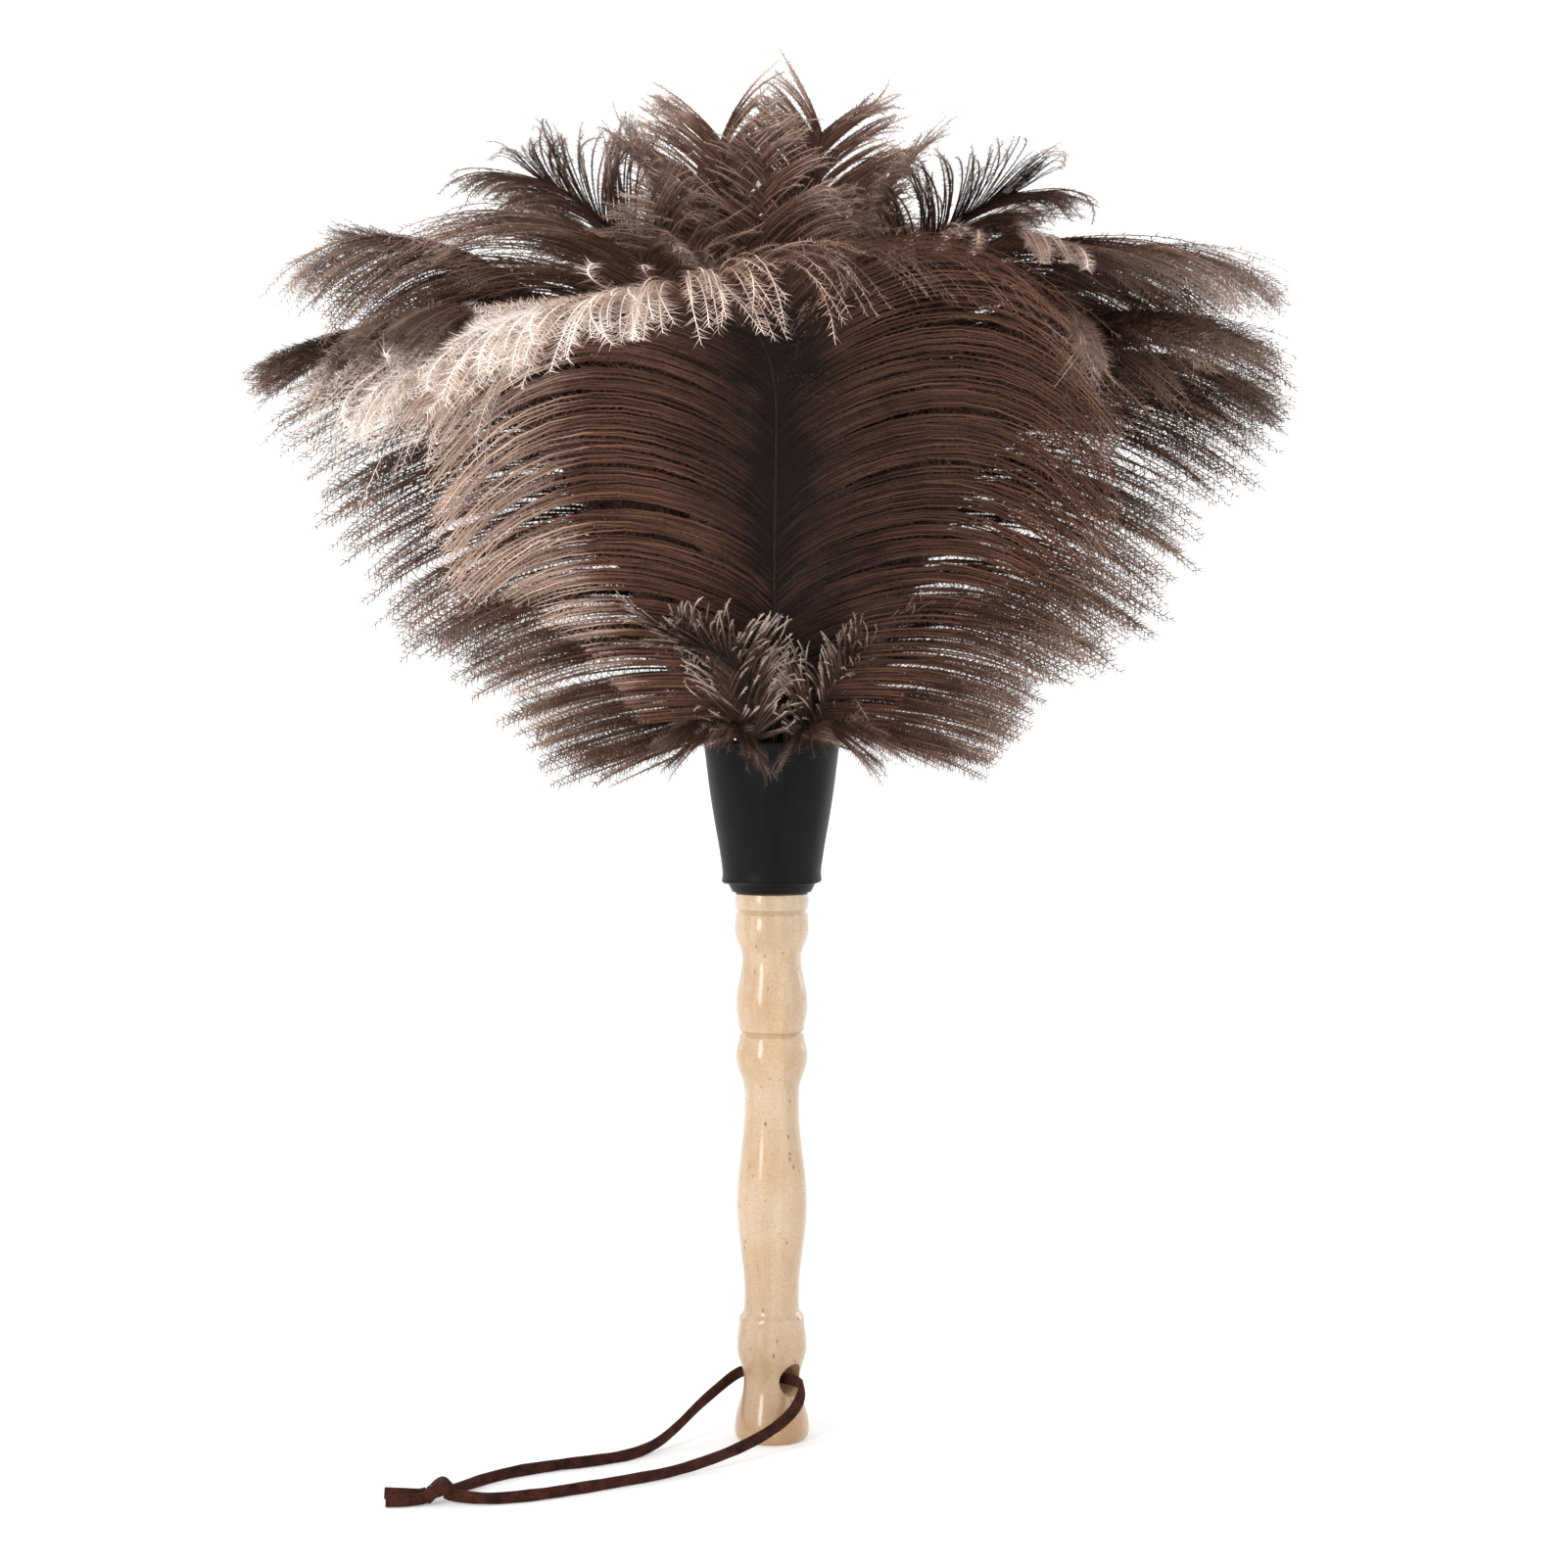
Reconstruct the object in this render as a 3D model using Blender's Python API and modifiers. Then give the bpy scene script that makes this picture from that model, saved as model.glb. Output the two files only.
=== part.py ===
"""Feather duster: a turned wooden handle, a black collar, tied rings of feathers and a suede hanging loop.

Metres, +Z up along the handle. The origin is the centre of the handle's flat foot, on the surface that the
duster stands on. -Y is the front. The hanging loop is threaded through a cross hole near the foot and lies
on that surface, towards -X.
"""

import math

import bmesh
import bpy
from mathutils import Matrix, Vector

MM = 0.001
GAP = 0.3  # left between pieces that touch, in millimetres
MERGE_DISTANCE = 1e-6

# Handle: (height, radius) of each turned bead and cove from the foot up, joined by half-cosine curves
HANDLE_TURNING = (
    (3.2, 11.0),
    (17.6, 8.25),
    (27.6, 10.35),
    (35.6, 9.65),
    (38.8, 8.15),
    (43.0, 8.1),
    (69.5, 10.45),
    (98.5, 8.1),
    (102.6, 8.1),
    (113.4, 10.6),
    (119.5, 9.6),
)
HANDLE_TOP_TURNING = (
    (121.1, 9.7),
    (128.4, 10.6),
    (142.2, 8.7),
    (150.6, 11.0),
    (155.4, 10.7),
)
LOWER_GROOVE = (120.3, 8.8)
UPPER_GROOVE = (156.1, 10.0)
COLLAR_RING = ((156.9, 10.8), (159.0, 10.95), (161.2, 10.7))
FOOT_FLAT_RADIUS = 9.3
FOOT_EDGE = ((0.5, 10.2), (1.4, 10.8))
PLUG_RADIUS = 9.5
PLUG_TOP = 172.0
SPINDLE_RADIUS = 4.5
SPINDLE_TOP = 214.0
EDGE_BREAK = 1.0  # bevel on the hidden plug and spindle
STEPS_PER_CURVE = 4
ROUND_SEGMENTS = 28

# Cross hole for the lace, drilled level and facing front right
HOLE_HEIGHT = 18.4
HOLE_RADIUS = 3.9
HOLE_AZIMUTH = math.radians(-45)
DRILL_HALF_LENGTH = 16.0
DRILL_FLARED_RADIUS = 7.7
DRILL_STRAIGHT_HALF_LENGTH = 7.0
DRILL_SEGMENTS = 20

# Collar: a cone with a stepped lip at its lower end
COLLAR_OUTSIDE = (
    (161.7, 11.6),
    (164.3, 12.7),
    (164.7, 14.3),
    (165.3, 14.65),
    (167.8, 14.45),
    (174.7, 15.4),
    (184.0, 17.0),
    (193.3, 18.4),
    (205.3, 19.85),
    (206.0, 19.5),
)
COLLAR_CONE_START = 5  # the entry of the outline above at which the plain cone begins
COLLAR_WALL = 1.5
COLLAR_RIM_ROUNDING = 0.4
COLLAR_FLOOR_FILLET = 0.7
COLLAR_FLOOR = 170.0
COLLAR_BORE_RADIUS = 9.85

# Feathers: (radius, height) along the quill and shaft of each ring, from inside the collar to the tip
FEATHERS_PER_RING = 6
FEATHER_THICKNESS = 1.0
QUILL_HALF_WIDTH = 1.2
RINGS = {
    "crown": {
        "route": ((6.2, 177), (6.7, 206), (9.5, 255), (16, 318), (33, 368), (56, 389), (82, 384)),
        "first_azimuth": -60,
        "half_width": 25,
        "sweep": 8,
        "reach": (1.0, 0.96, 1.0, 0.97, 1.0, 0.98),
    },
    "inner": {
        "route": ((8.5, 177), (9.6, 206), (15.5, 252), (29, 311), (56, 354), (90, 367), (120, 352)),
        "first_azimuth": -90,
        "half_width": 41,
        "sweep": -10,
        "reach": (0.97, 1.0, 0.98, 1.0, 0.96, 1.0),
    },
    "middle": {
        "route": ((10.8, 177), (12.6, 206), (21, 247), (40, 299), (74, 337), (113, 345), (146, 324)),
        "first_azimuth": -60,
        "half_width": 50,
        "sweep": 12,
        "reach": (1.0, 0.97, 0.98, 0.98, 1.0, 0.97),
    },
    "outer": {
        "route": ((13.1, 177), (15.8, 206), (26, 242), (45, 285), (78, 317), (114, 321), (146, 297)),
        "first_azimuth": -90,
        "half_width": 52,
        "sweep": -24,
        "reach": (1.0, 0.98, 1.0, 0.97, 1.0, 0.98),
    },
    "tuft": {
        "route": ((13.1, 177), (15.2, 200), (18.2, 208), (24, 219), (32, 229), (42, 235), (52, 234), (60, 227)),
        "first_azimuth": -60,
        "half_width": 22,
        "sweep": 0,
        "reach": (1.0, 0.95, 1.0, 0.95, 1.0, 0.95),
    },
}
STATIONS = 12  # cross sections along a feather
CELLS_ACROSS = 4
BARE_LENGTH = 36.0  # bare quill at the foot of each feather
VANE_DROOP = 5.0  # how far a vane's edges hang below its shaft
VANE_SWELL_START = 0.04  # a vane's outline is this part of a sine wave, from its foot to its tip
VANE_SWELL_SPAN = 0.9
VANE_FULLNESS = 0.7
EDGE_GAP = 1.2  # kept between a vane's edge and the middle of the gap to its neighbour

# Binding wire: one winding round each ring of quills
WIRE_DIAMETER = 0.7
WINDINGS = {
    "crown": {"radius": 7.52, "height": 183.0},
    "inner": {"radius": 10.05, "height": 184.0},
    "middle": {"radius": 12.62, "height": 186.0},
    "outer": {"radius": 15.6, "height": 187.0},
}
WIRE_TURNS = 3
WIRE_POINTS_PER_TURN = 14
WIRE_PITCH = 0.95

# Hanging loop: two strands of one lace, from inside the hole to the knot
LACE_WIDTH = 3.2
FRONT_STRAND = (
    (0.12, -0.12, 18.4),
    (7.4, -7.4, 18.4),
    (9.9, -10.6, 17.2),
    (8.2, -13.9, 12.8),
    (3.2, -17.4, 8.8),
    (-4.6, -24.0, 5.7),
    (-15.2, -33.6, 3.4),
    (-27.6, -43.4, 2.0),
    (-40.5, -51.6, 1.7),
    (-53.0, -59.4, 1.7),
    (-65.0, -65.8, 1.7),
    (-76.4, -69.0, 1.7),
    (-85.8, -68.2, 1.7),
)
BACK_STRAND = (
    (-0.12, 0.12, 18.4),
    (-7.4, 7.4, 18.0),
    (-10.6, 9.5, 16.6),
    (-14.9, 6.6, 14.0),
    (-21.4, 0.4, 9.7),
    (-27.6, -7.2, 5.2),
    (-33.6, -16.0, 2.4),
    (-40.6, -24.8, 1.7),
    (-50.0, -31.0, 1.7),
    (-61.2, -36.2, 1.7),
    (-72.0, -42.8, 1.7),
    (-80.4, -51.2, 1.7),
    (-87.2, -62.9, 1.7),
)
STRAND_POINTS = 34
TAIL_POINTS = 4
LACE_RESOLUTION = 2
WIRE_RESOLUTION = 1
ROUTE_STEPS = 24
KNOT_CENTRE = (-90.8, -66.8, 3.0)
KNOT_RADII = (4.6, 4.6, 2.9)
KNOT_SEGMENTS = 14
KNOT_RINGS = 8
TAILS = {
    "lace_tail_left": ((-95.9, -65.9, 1.7), (-100.5, -64.6, 1.7), (-105.5, -63.9, 1.7)),
    "lace_tail_right": ((-94.9, -70.1, 1.7), (-99.6, -71.4, 1.7), (-104.2, -71.6, 1.7)),
}

COLOURS = {
    "wood": ((0.76, 0.60, 0.39), 0.35, 0.0),
    "collar_rubber": ((0.02, 0.022, 0.026), 0.45, 0.0),
    "feather": ((0.11, 0.07, 0.05), 0.85, 0.0),
    "wire": ((0.45, 0.44, 0.42), 0.35, 1.0),
    "suede": ((0.07, 0.025, 0.018), 0.9, 0.0),
}


def clear_scene():
    for item in list(bpy.data.objects):
        bpy.data.objects.remove(item, do_unlink=True)


def new_collection(name):
    collection = bpy.data.collections.new(name)
    bpy.context.scene.collection.children.link(collection)
    return collection


def make_material(name):
    colour, roughness, metallic = COLOURS[name]
    material = bpy.data.materials.new(name)
    material.use_nodes = True
    shader = material.node_tree.nodes["Principled BSDF"]
    shader.inputs["Base Color"].default_value = (*colour, 1.0)
    shader.inputs["Roughness"].default_value = roughness
    shader.inputs["Metallic"].default_value = metallic
    return material


def add_object(name, data, material, collection):
    item = bpy.data.objects.new(name, data)
    if material:
        data.materials.append(material)
    collection.objects.link(item)
    return item


def smooth_route(points, count):
    """The given number of points spread evenly along one smooth curve through all the points."""
    points = [Vector(p) for p in points]
    ends = [2 * points[0] - points[1], *points, 2 * points[-1] - points[-2]]
    fine = []
    for before, start, stop, after in zip(ends, ends[1:], ends[2:], ends[3:]):
        for step in range(ROUTE_STEPS):
            t = step / ROUTE_STEPS
            fine.append(
                0.5
                * (
                    2 * start
                    + (stop - before) * t
                    + (2 * before - 5 * start + 4 * stop - after) * t**2
                    + (3 * start - 3 * stop + after - before) * t**3
                )
            )
    fine.append(points[-1])
    travelled = [0.0]
    for here, there in zip(fine, fine[1:]):
        travelled.append(travelled[-1] + (there - here).length)
    route, at = [], 0
    for number in range(count):
        wanted = travelled[-1] * number / (count - 1)
        while at < len(fine) - 2 and travelled[at + 1] < wanted:
            at += 1
        share = (wanted - travelled[at]) / (travelled[at + 1] - travelled[at])
        route.append(fine[at].lerp(fine[at + 1], min(share, 1.0)))
    return route


def half_cosine(turning):
    """(height, radius) points of a turned outline that swells and narrows smoothly between its crests."""
    outline = []
    for (low, thin), (high, thick) in zip(turning, turning[1:]):
        for step in range(STEPS_PER_CURVE):
            t = step / STEPS_PER_CURVE
            ease = (1 - math.cos(math.pi * t)) / 2
            outline.append((low + (high - low) * t, thin + (thick - thin) * ease))
    outline.append(turning[-1])
    return outline


def turned(name, outline, material, collection, segments=ROUND_SEGMENTS):
    """A body turned about Z from (height, radius) points in millimetres, listed from its top down."""
    mesh = bpy.data.meshes.new(name)
    shape = bmesh.new()
    corners = [shape.verts.new((radius * MM, 0, height * MM)) for height, radius in outline]
    for upper, lower in zip(corners, corners[1:]):
        shape.edges.new((upper, lower))
    shape.to_mesh(mesh)
    shape.free()
    item = add_object(name, mesh, material, collection)
    screw = item.modifiers.new("turning", "SCREW")
    screw.steps = screw.render_steps = segments
    screw.use_merge_vertices = True
    screw.merge_threshold = MERGE_DISTANCE
    screw.use_smooth_shade = True
    return item


def hole_cutter(collection):
    """A drill with a countersink at each end, lying along the cross hole."""
    half = (
        (0.0, DRILL_HALF_LENGTH),
        (DRILL_FLARED_RADIUS, DRILL_HALF_LENGTH),
        (HOLE_RADIUS, DRILL_STRAIGHT_HALF_LENGTH),
        (HOLE_RADIUS, 0.0),
    )
    outline = [*half, *[(radius, -height) for radius, height in reversed(half[:-1])]]
    mesh = bpy.data.meshes.new("lace_hole_drill")
    shape = bmesh.new()
    corners = [shape.verts.new((radius * MM, 0, height * MM)) for radius, height in outline]
    for upper, lower in zip(corners, corners[1:]):
        shape.edges.new((upper, lower))
    bmesh.ops.spin(
        shape,
        geom=shape.verts[:] + shape.edges[:],
        cent=(0, 0, 0),
        axis=(0, 0, 1),
        angle=2 * math.pi,
        steps=DRILL_SEGMENTS,
    )
    bmesh.ops.remove_doubles(shape, verts=shape.verts, dist=MERGE_DISTANCE)
    bmesh.ops.recalc_face_normals(shape, faces=shape.faces)
    shape.to_mesh(mesh)
    shape.free()
    cutter = add_object("lace_hole_drill", mesh, None, collection)
    cutter.rotation_euler = (0, math.pi / 2, HOLE_AZIMUTH)
    cutter.location = (0, 0, HOLE_HEIGHT * MM)
    cutter.display_type = "WIRE"
    cutter.hide_render = True
    return cutter


def make_handle(material, parts, cutters):
    outline = [
        (0.0, 0.0),
        (0.0, FOOT_FLAT_RADIUS),
        *FOOT_EDGE,
        *half_cosine(HANDLE_TURNING),
        LOWER_GROOVE,
        *half_cosine(HANDLE_TOP_TURNING),
        UPPER_GROOVE,
        *COLLAR_RING,
        (COLLAR_OUTSIDE[0][0] - GAP, PLUG_RADIUS),
        (PLUG_TOP - EDGE_BREAK, PLUG_RADIUS),
        (PLUG_TOP, PLUG_RADIUS - EDGE_BREAK),
        (PLUG_TOP, SPINDLE_RADIUS),
        (SPINDLE_TOP - EDGE_BREAK, SPINDLE_RADIUS),
        (SPINDLE_TOP, SPINDLE_RADIUS - EDGE_BREAK),
        (SPINDLE_TOP, 0.0),
    ]
    handle = turned("handle", outline[::-1], material, parts)
    cut = handle.modifiers.new("lace hole", "BOOLEAN")
    cut.operation = "DIFFERENCE"
    cut.object = hole_cutter(cutters)
    return handle


def make_collar(material, parts):
    cone = COLLAR_OUTSIDE[COLLAR_CONE_START:-1]
    inside = [(height, radius - COLLAR_WALL) for height, radius in cone]
    outline = [
        *COLLAR_OUTSIDE,
        (COLLAR_OUTSIDE[-1][0], inside[-1][1] + COLLAR_RIM_ROUNDING),
        *inside[::-1],
        (COLLAR_FLOOR, inside[0][1] - COLLAR_FLOOR_FILLET),
        (COLLAR_FLOOR, COLLAR_BORE_RADIUS),
        (COLLAR_OUTSIDE[0][0], COLLAR_BORE_RADIUS),
        COLLAR_OUTSIDE[0],
    ]
    return turned("collar", outline[::-1], material, parts)


def vane_half_width(beyond, widest):
    """Half the vane's width, in millimetres, at this share of the way from the bare quill to the tip."""
    if beyond <= 0:
        return QUILL_HALF_WIDTH
    swell = math.sin(math.pi * (beyond * VANE_SWELL_SPAN + VANE_SWELL_START)) ** VANE_FULLNESS
    return QUILL_HALF_WIDTH + (widest - QUILL_HALF_WIDTH) * swell


def make_feather(name, ring, number, material, parts):
    """One quill and vane: a strip that follows the ring's route and curves round the duster's axis."""
    grid = bmesh.new()
    bmesh.ops.create_grid(grid, x_segments=STATIONS - 1, y_segments=CELLS_ACROSS, size=1.0)
    route = smooth_route([(r, 0, h) for r, h in ring["route"]], STATIONS)
    reach = ring["reach"][number]
    azimuth = math.radians(ring["first_azimuth"] + 360 / FEATHERS_PER_RING * number)
    length = sum((there - here).length for here, there in zip(route, route[1:]))
    bare = BARE_LENGTH / length
    for vertex in grid.verts:
        share, across = (vertex.co.x + 1) / 2, vertex.co.y
        point = route[round(share * (STATIONS - 1))]
        beyond = max(share - bare, 0) / (1 - bare)
        radius = point.x * (1 + (reach - 1) * beyond)
        sector = math.pi / FEATHERS_PER_RING * radius
        half_width = min(vane_half_width(beyond, ring["half_width"]), sector - EDGE_GAP)
        droop = VANE_DROOP * (half_width / ring["half_width"]) ** 2 * across**2 * min(beyond * 2, 1)
        angle = azimuth + math.radians(ring["sweep"]) * beyond**2 + across * half_width / radius
        height = point.z - droop
        vertex.co = Vector((radius * math.cos(angle), radius * math.sin(angle), height)) * MM
    bmesh.ops.recalc_face_normals(grid, faces=grid.faces)
    mesh = bpy.data.meshes.new(name)
    grid.to_mesh(mesh)
    grid.free()
    mesh.shade_smooth()
    feather = add_object(name, mesh, material, parts)
    shell = feather.modifiers.new("thickness", "SOLIDIFY")
    shell.thickness = FEATHER_THICKNESS * MM
    shell.offset = 0
    return feather


def make_tube(name, route, diameter, resolution, material, parts):
    """A round cord or wire with closed ends along a route in metres."""
    curve = bpy.data.curves.new(name, "CURVE")
    curve.dimensions = "3D"
    curve.bevel_depth = diameter / 2
    curve.bevel_resolution = resolution
    curve.use_fill_caps = True
    spline = curve.splines.new("POLY")
    spline.points.add(len(route) - 1)
    for point, place in zip(spline.points, route):
        point.co = (*place, 1)
    return add_object(name, curve, material, parts)


def make_winding(name, winding, material, parts):
    """A few turns of wire round a ring of quills."""
    count = WIRE_TURNS * WIRE_POINTS_PER_TURN
    route = []
    for number in range(count + 1):
        angle = 2 * math.pi * number / WIRE_POINTS_PER_TURN
        height = winding["height"] + WIRE_PITCH * number / WIRE_POINTS_PER_TURN
        route.append(
            Vector((winding["radius"] * math.cos(angle), winding["radius"] * math.sin(angle), height)) * MM
        )
    return make_tube(name, route, WIRE_DIAMETER * MM, WIRE_RESOLUTION, material, parts)


def make_knot(material, parts):
    """The lace's overhand knot, as a plain rounded body."""
    mesh = bpy.data.meshes.new("lace_knot")
    shape = bmesh.new()
    bmesh.ops.create_uvsphere(shape, u_segments=KNOT_SEGMENTS, v_segments=KNOT_RINGS, radius=1.0)
    bmesh.ops.scale(shape, vec=Vector(KNOT_RADII) * MM, verts=shape.verts)
    shape.to_mesh(mesh)
    shape.free()
    mesh.shade_smooth()
    knot = add_object("lace_knot", mesh, material, parts)
    knot.location = Vector(KNOT_CENTRE) * MM
    return knot


def make_loop(material, parts):
    """The lace: its two strands, its knot and its two cut tails, all hung from the cross hole's axis."""
    pivot = bpy.data.objects.new("loop_pivot", None)
    pivot.location = (0, 0, HOLE_HEIGHT * MM)
    parts.objects.link(pivot)
    pieces = [make_knot(material, parts)]
    for name, points in (("lace_front_strand", FRONT_STRAND), ("lace_back_strand", BACK_STRAND)):
        route = [point * MM for point in smooth_route(points, STRAND_POINTS)]
        pieces.append(make_tube(name, route, LACE_WIDTH * MM, LACE_RESOLUTION, material, parts))
    for name, points in TAILS.items():
        route = [point * MM for point in smooth_route(points, TAIL_POINTS)]
        pieces.append(make_tube(name, route, LACE_WIDTH * MM, LACE_RESOLUTION, material, parts))
    for piece in pieces:
        piece.parent = pivot
        piece.matrix_parent_inverse = Matrix.Translation(-pivot.location)


def main():
    clear_scene()
    parts = new_collection("feather_duster")
    cutters = new_collection("cutters")
    materials = {name: make_material(name) for name in COLOURS}
    make_handle(materials["wood"], parts, cutters)
    make_collar(materials["collar_rubber"], parts)
    for ring_name, ring in RINGS.items():
        for number in range(FEATHERS_PER_RING):
            name = f"feather_{ring_name}_{number + 1}"
            make_feather(name, ring, number, materials["feather"], parts)
    for ring_name, winding in WINDINGS.items():
        make_winding(f"binding_wire_{ring_name}", winding, materials["wire"], parts)
    make_loop(materials["suede"], parts)


main()
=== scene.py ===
"""Looks of the feather duster, round its CAD frame: feathers, turned wood, black collar and suede lace."""

import itertools
import math

import bmesh
import bpy
import numpy as np
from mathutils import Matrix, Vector


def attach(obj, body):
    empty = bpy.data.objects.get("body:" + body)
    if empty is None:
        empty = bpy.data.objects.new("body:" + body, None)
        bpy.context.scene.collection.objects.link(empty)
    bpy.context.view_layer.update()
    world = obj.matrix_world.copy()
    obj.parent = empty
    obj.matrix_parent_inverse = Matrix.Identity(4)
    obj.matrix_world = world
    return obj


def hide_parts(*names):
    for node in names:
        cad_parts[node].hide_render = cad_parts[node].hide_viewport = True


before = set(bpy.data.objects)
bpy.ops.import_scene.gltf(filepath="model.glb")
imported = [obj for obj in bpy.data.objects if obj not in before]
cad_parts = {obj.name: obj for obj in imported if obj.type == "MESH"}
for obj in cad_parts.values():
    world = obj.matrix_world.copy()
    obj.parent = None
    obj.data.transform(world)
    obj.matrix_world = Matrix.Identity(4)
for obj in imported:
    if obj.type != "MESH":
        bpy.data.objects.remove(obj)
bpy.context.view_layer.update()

MM = 0.001
DUSTER = "duster"
LOOP = "loop"

# Camera: a 65 mm lens, a little under a metre away, level with the collar and tipped down slightly
CAMERA_DISTANCE = 0.833
CAMERA_HEIGHT = 0.2225
CAMERA_TILT = math.radians(2.0)
CAMERA_SIDE = 0.0036
LENS_MM = 65.2

# Studio: a white bowl that is floor and backdrop in one, as (radius, height) in metres, and four area lights
BOWL = ((1.6, 0.0), (2.0, 0.08), (2.3, 0.32), (2.45, 0.8), (2.5, 2.4))
BOWL_POINTS = 48
LIGHTS_AIM = (0, 0, 0.25)
LIGHTS = {  # place, size, watts
    "key": ((-0.9, -1.1, 0.75), (0.3, 1.3), 11),
    "fill": ((1.2, -0.8, 0.7), (0.8, 1.2), 2),
    "left_rim": ((-1.1, 0.9, 0.8), (0.6, 1.2), 2.5),
    "right_rim": ((1.1, 0.9, 0.8), (0.6, 1.2), 4),
}
WORLD_STRENGTH = 0.8

# Handle, as in the CAD: (height, radius) of each bead and cove in millimetres, joined by half cosines
HANDLE_TURNING = (
    (3.2, 11.0),
    (17.6, 8.25),
    (27.6, 10.35),
    (35.6, 9.65),
    (38.8, 8.15),
    (43.0, 8.1),
    (69.5, 10.45),
    (98.5, 8.1),
    (102.6, 8.1),
    (113.4, 10.6),
    (119.5, 9.6),
)
HANDLE_TOP_TURNING = ((121.1, 9.7), (128.4, 10.6), (142.2, 8.7), (150.6, 11.0), (155.4, 10.7))
LOWER_GROOVE = ((120.0, 9.0), (120.3, 8.8), (120.6, 9.0))
UPPER_GROOVE = ((155.8, 10.2), (156.1, 10.0), (156.4, 10.2))
COLLAR_RING = ((156.9, 10.8), (159.0, 10.95), (161.2, 10.7), (161.5, 10.3))
PLUG_FOOT = 161.5
FOOT_FLAT_RADIUS = 9.3
FOOT_EDGE = ((0.12, 9.8), (0.5, 10.3), (1.1, 10.7), (2.0, 10.95))
PLUG_RADIUS = 9.5
PLUG_TOP = 172.0
SPINDLE_RADIUS = 4.5
SPINDLE_TOP = 214.0
STEPS_PER_CURVE = 14
SEGMENTS = 96
WOOD_SHARP_ANGLE = math.radians(42)

# Cross hole for the lace, and half of the drill that cuts it, as (distance from the handle's axis, radius):
# straight in the middle, flared towards both mouths
HOLE_HEIGHT = 18.4
HOLE_AZIMUTH = math.radians(-45)
HALF_DRILL = ((6.0, 3.9), (7.0, 4.05), (16.0, 7.9))
DRILL_SEGMENTS = 64

# Collar, in (height, radius) millimetres: lower edge, side as in the CAD, and lip; the bore fits the plug
COLLAR_FOOT = (
    (161.7, 11.2),
    (161.85, 11.5),
    (162.3, 11.85),
    (164.1, 12.7),
    (164.5, 13.0),
    (164.62, 14.2),
    (164.8, 14.5),
)
COLLAR_SIDE = ((165.3, 14.65), (167.8, 14.45), (174.7, 15.4), (184.0, 17.0), (193.3, 18.4), (205.3, 19.85))
COLLAR_LIP = ((205.75, 19.8), (206.0, 19.5), (206.0, 18.9), (205.8, 18.5))
COLLAR_WALL = 1.5
COLLAR_FLOOR = 170.0
COLLAR_FLOOR_ROUNDING = 0.7
COLLAR_BORE_RADIUS = 9.85
COLLAR_SHARP_ANGLE = math.radians(50)
# How far it is out of round, as a share of its radius, and how far its lower outer edge dips, in metres
OUT_OF_ROUND = 0.004
EDGE_DIP = 0.00025
EDGE_TOP = 0.172
EDGE_FADE = 0.008
EDGE_LEAST_RADIUS = 0.0138

# Lace, in metres. The routes follow the CAD's and go on into the knot
LACE_WIDTH = 0.0032
LACE_THICKNESS = 0.0015
LACE_SIDES = 16
LACE_SQUARENESS = 0.45
LACE_SHARP_ANGLE = math.radians(60)
LACE_LEAN = 0.25
STRAND_STEPS = 90
TAIL_STEPS = 24
FRONT_STRAND = (
    (0.00012, -0.00012, 0.0184),
    (0.0074, -0.0074, 0.0184),
    (0.0088, -0.0106, 0.0170),
    (0.0072, -0.0139, 0.0128),
    (0.0027, -0.0174, 0.0088),
    (-0.0046, -0.0240, 0.0057),
    (-0.0152, -0.0336, 0.0034),
    (-0.0276, -0.0434, 0.0020),
    (-0.0405, -0.0516, 0.0017),
    (-0.0530, -0.0594, 0.0017),
    (-0.0650, -0.0658, 0.0017),
    (-0.0764, -0.0690, 0.0017),
    (-0.0858, -0.0682, 0.0022),
    (-0.0884, -0.0676, 0.0029),
)
BACK_STRAND = (
    (-0.00012, 0.00012, 0.0184),
    (-0.0074, 0.0074, 0.0180),
    (-0.0106, 0.0095, 0.0166),
    (-0.0149, 0.0066, 0.0140),
    (-0.0214, 0.0004, 0.0097),
    (-0.0276, -0.0072, 0.0052),
    (-0.0336, -0.0160, 0.0024),
    (-0.0406, -0.0248, 0.0017),
    (-0.0500, -0.0310, 0.0017),
    (-0.0612, -0.0362, 0.0017),
    (-0.0720, -0.0428, 0.0017),
    (-0.0804, -0.0512, 0.0017),
    (-0.0868, -0.0621, 0.0022),
    (-0.0886, -0.0645, 0.0029),
)
TAILS = {
    "left": (
        (-0.0940, -0.0662, 0.0024),
        (-0.0959, -0.0659, 0.0019),
        (-0.1005, -0.0646, 0.0017),
        (-0.1055, -0.0639, 0.0017),
    ),
    "right": (
        (-0.0925, -0.0690, 0.0024),
        (-0.0949, -0.0701, 0.0019),
        (-0.0996, -0.0714, 0.0017),
        (-0.1042, -0.0716, 0.0017),
    ),
}
# The knot is an open trefoil curve: its span, as the curve's parameter, and its scale along each axis
KNOT_CENTRE = (-0.0908, -0.0668, 0.0038)
KNOT_SPAN = 1.93
KNOT_STEPS = 120
KNOT_SCALE = (0.00027, 0.00120, 0.00084)
KNOT_SHIFT = 0.0019
KNOT_TURN = math.radians(9)
KNOT_BAND = (0.0034, 0.0025)

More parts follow.
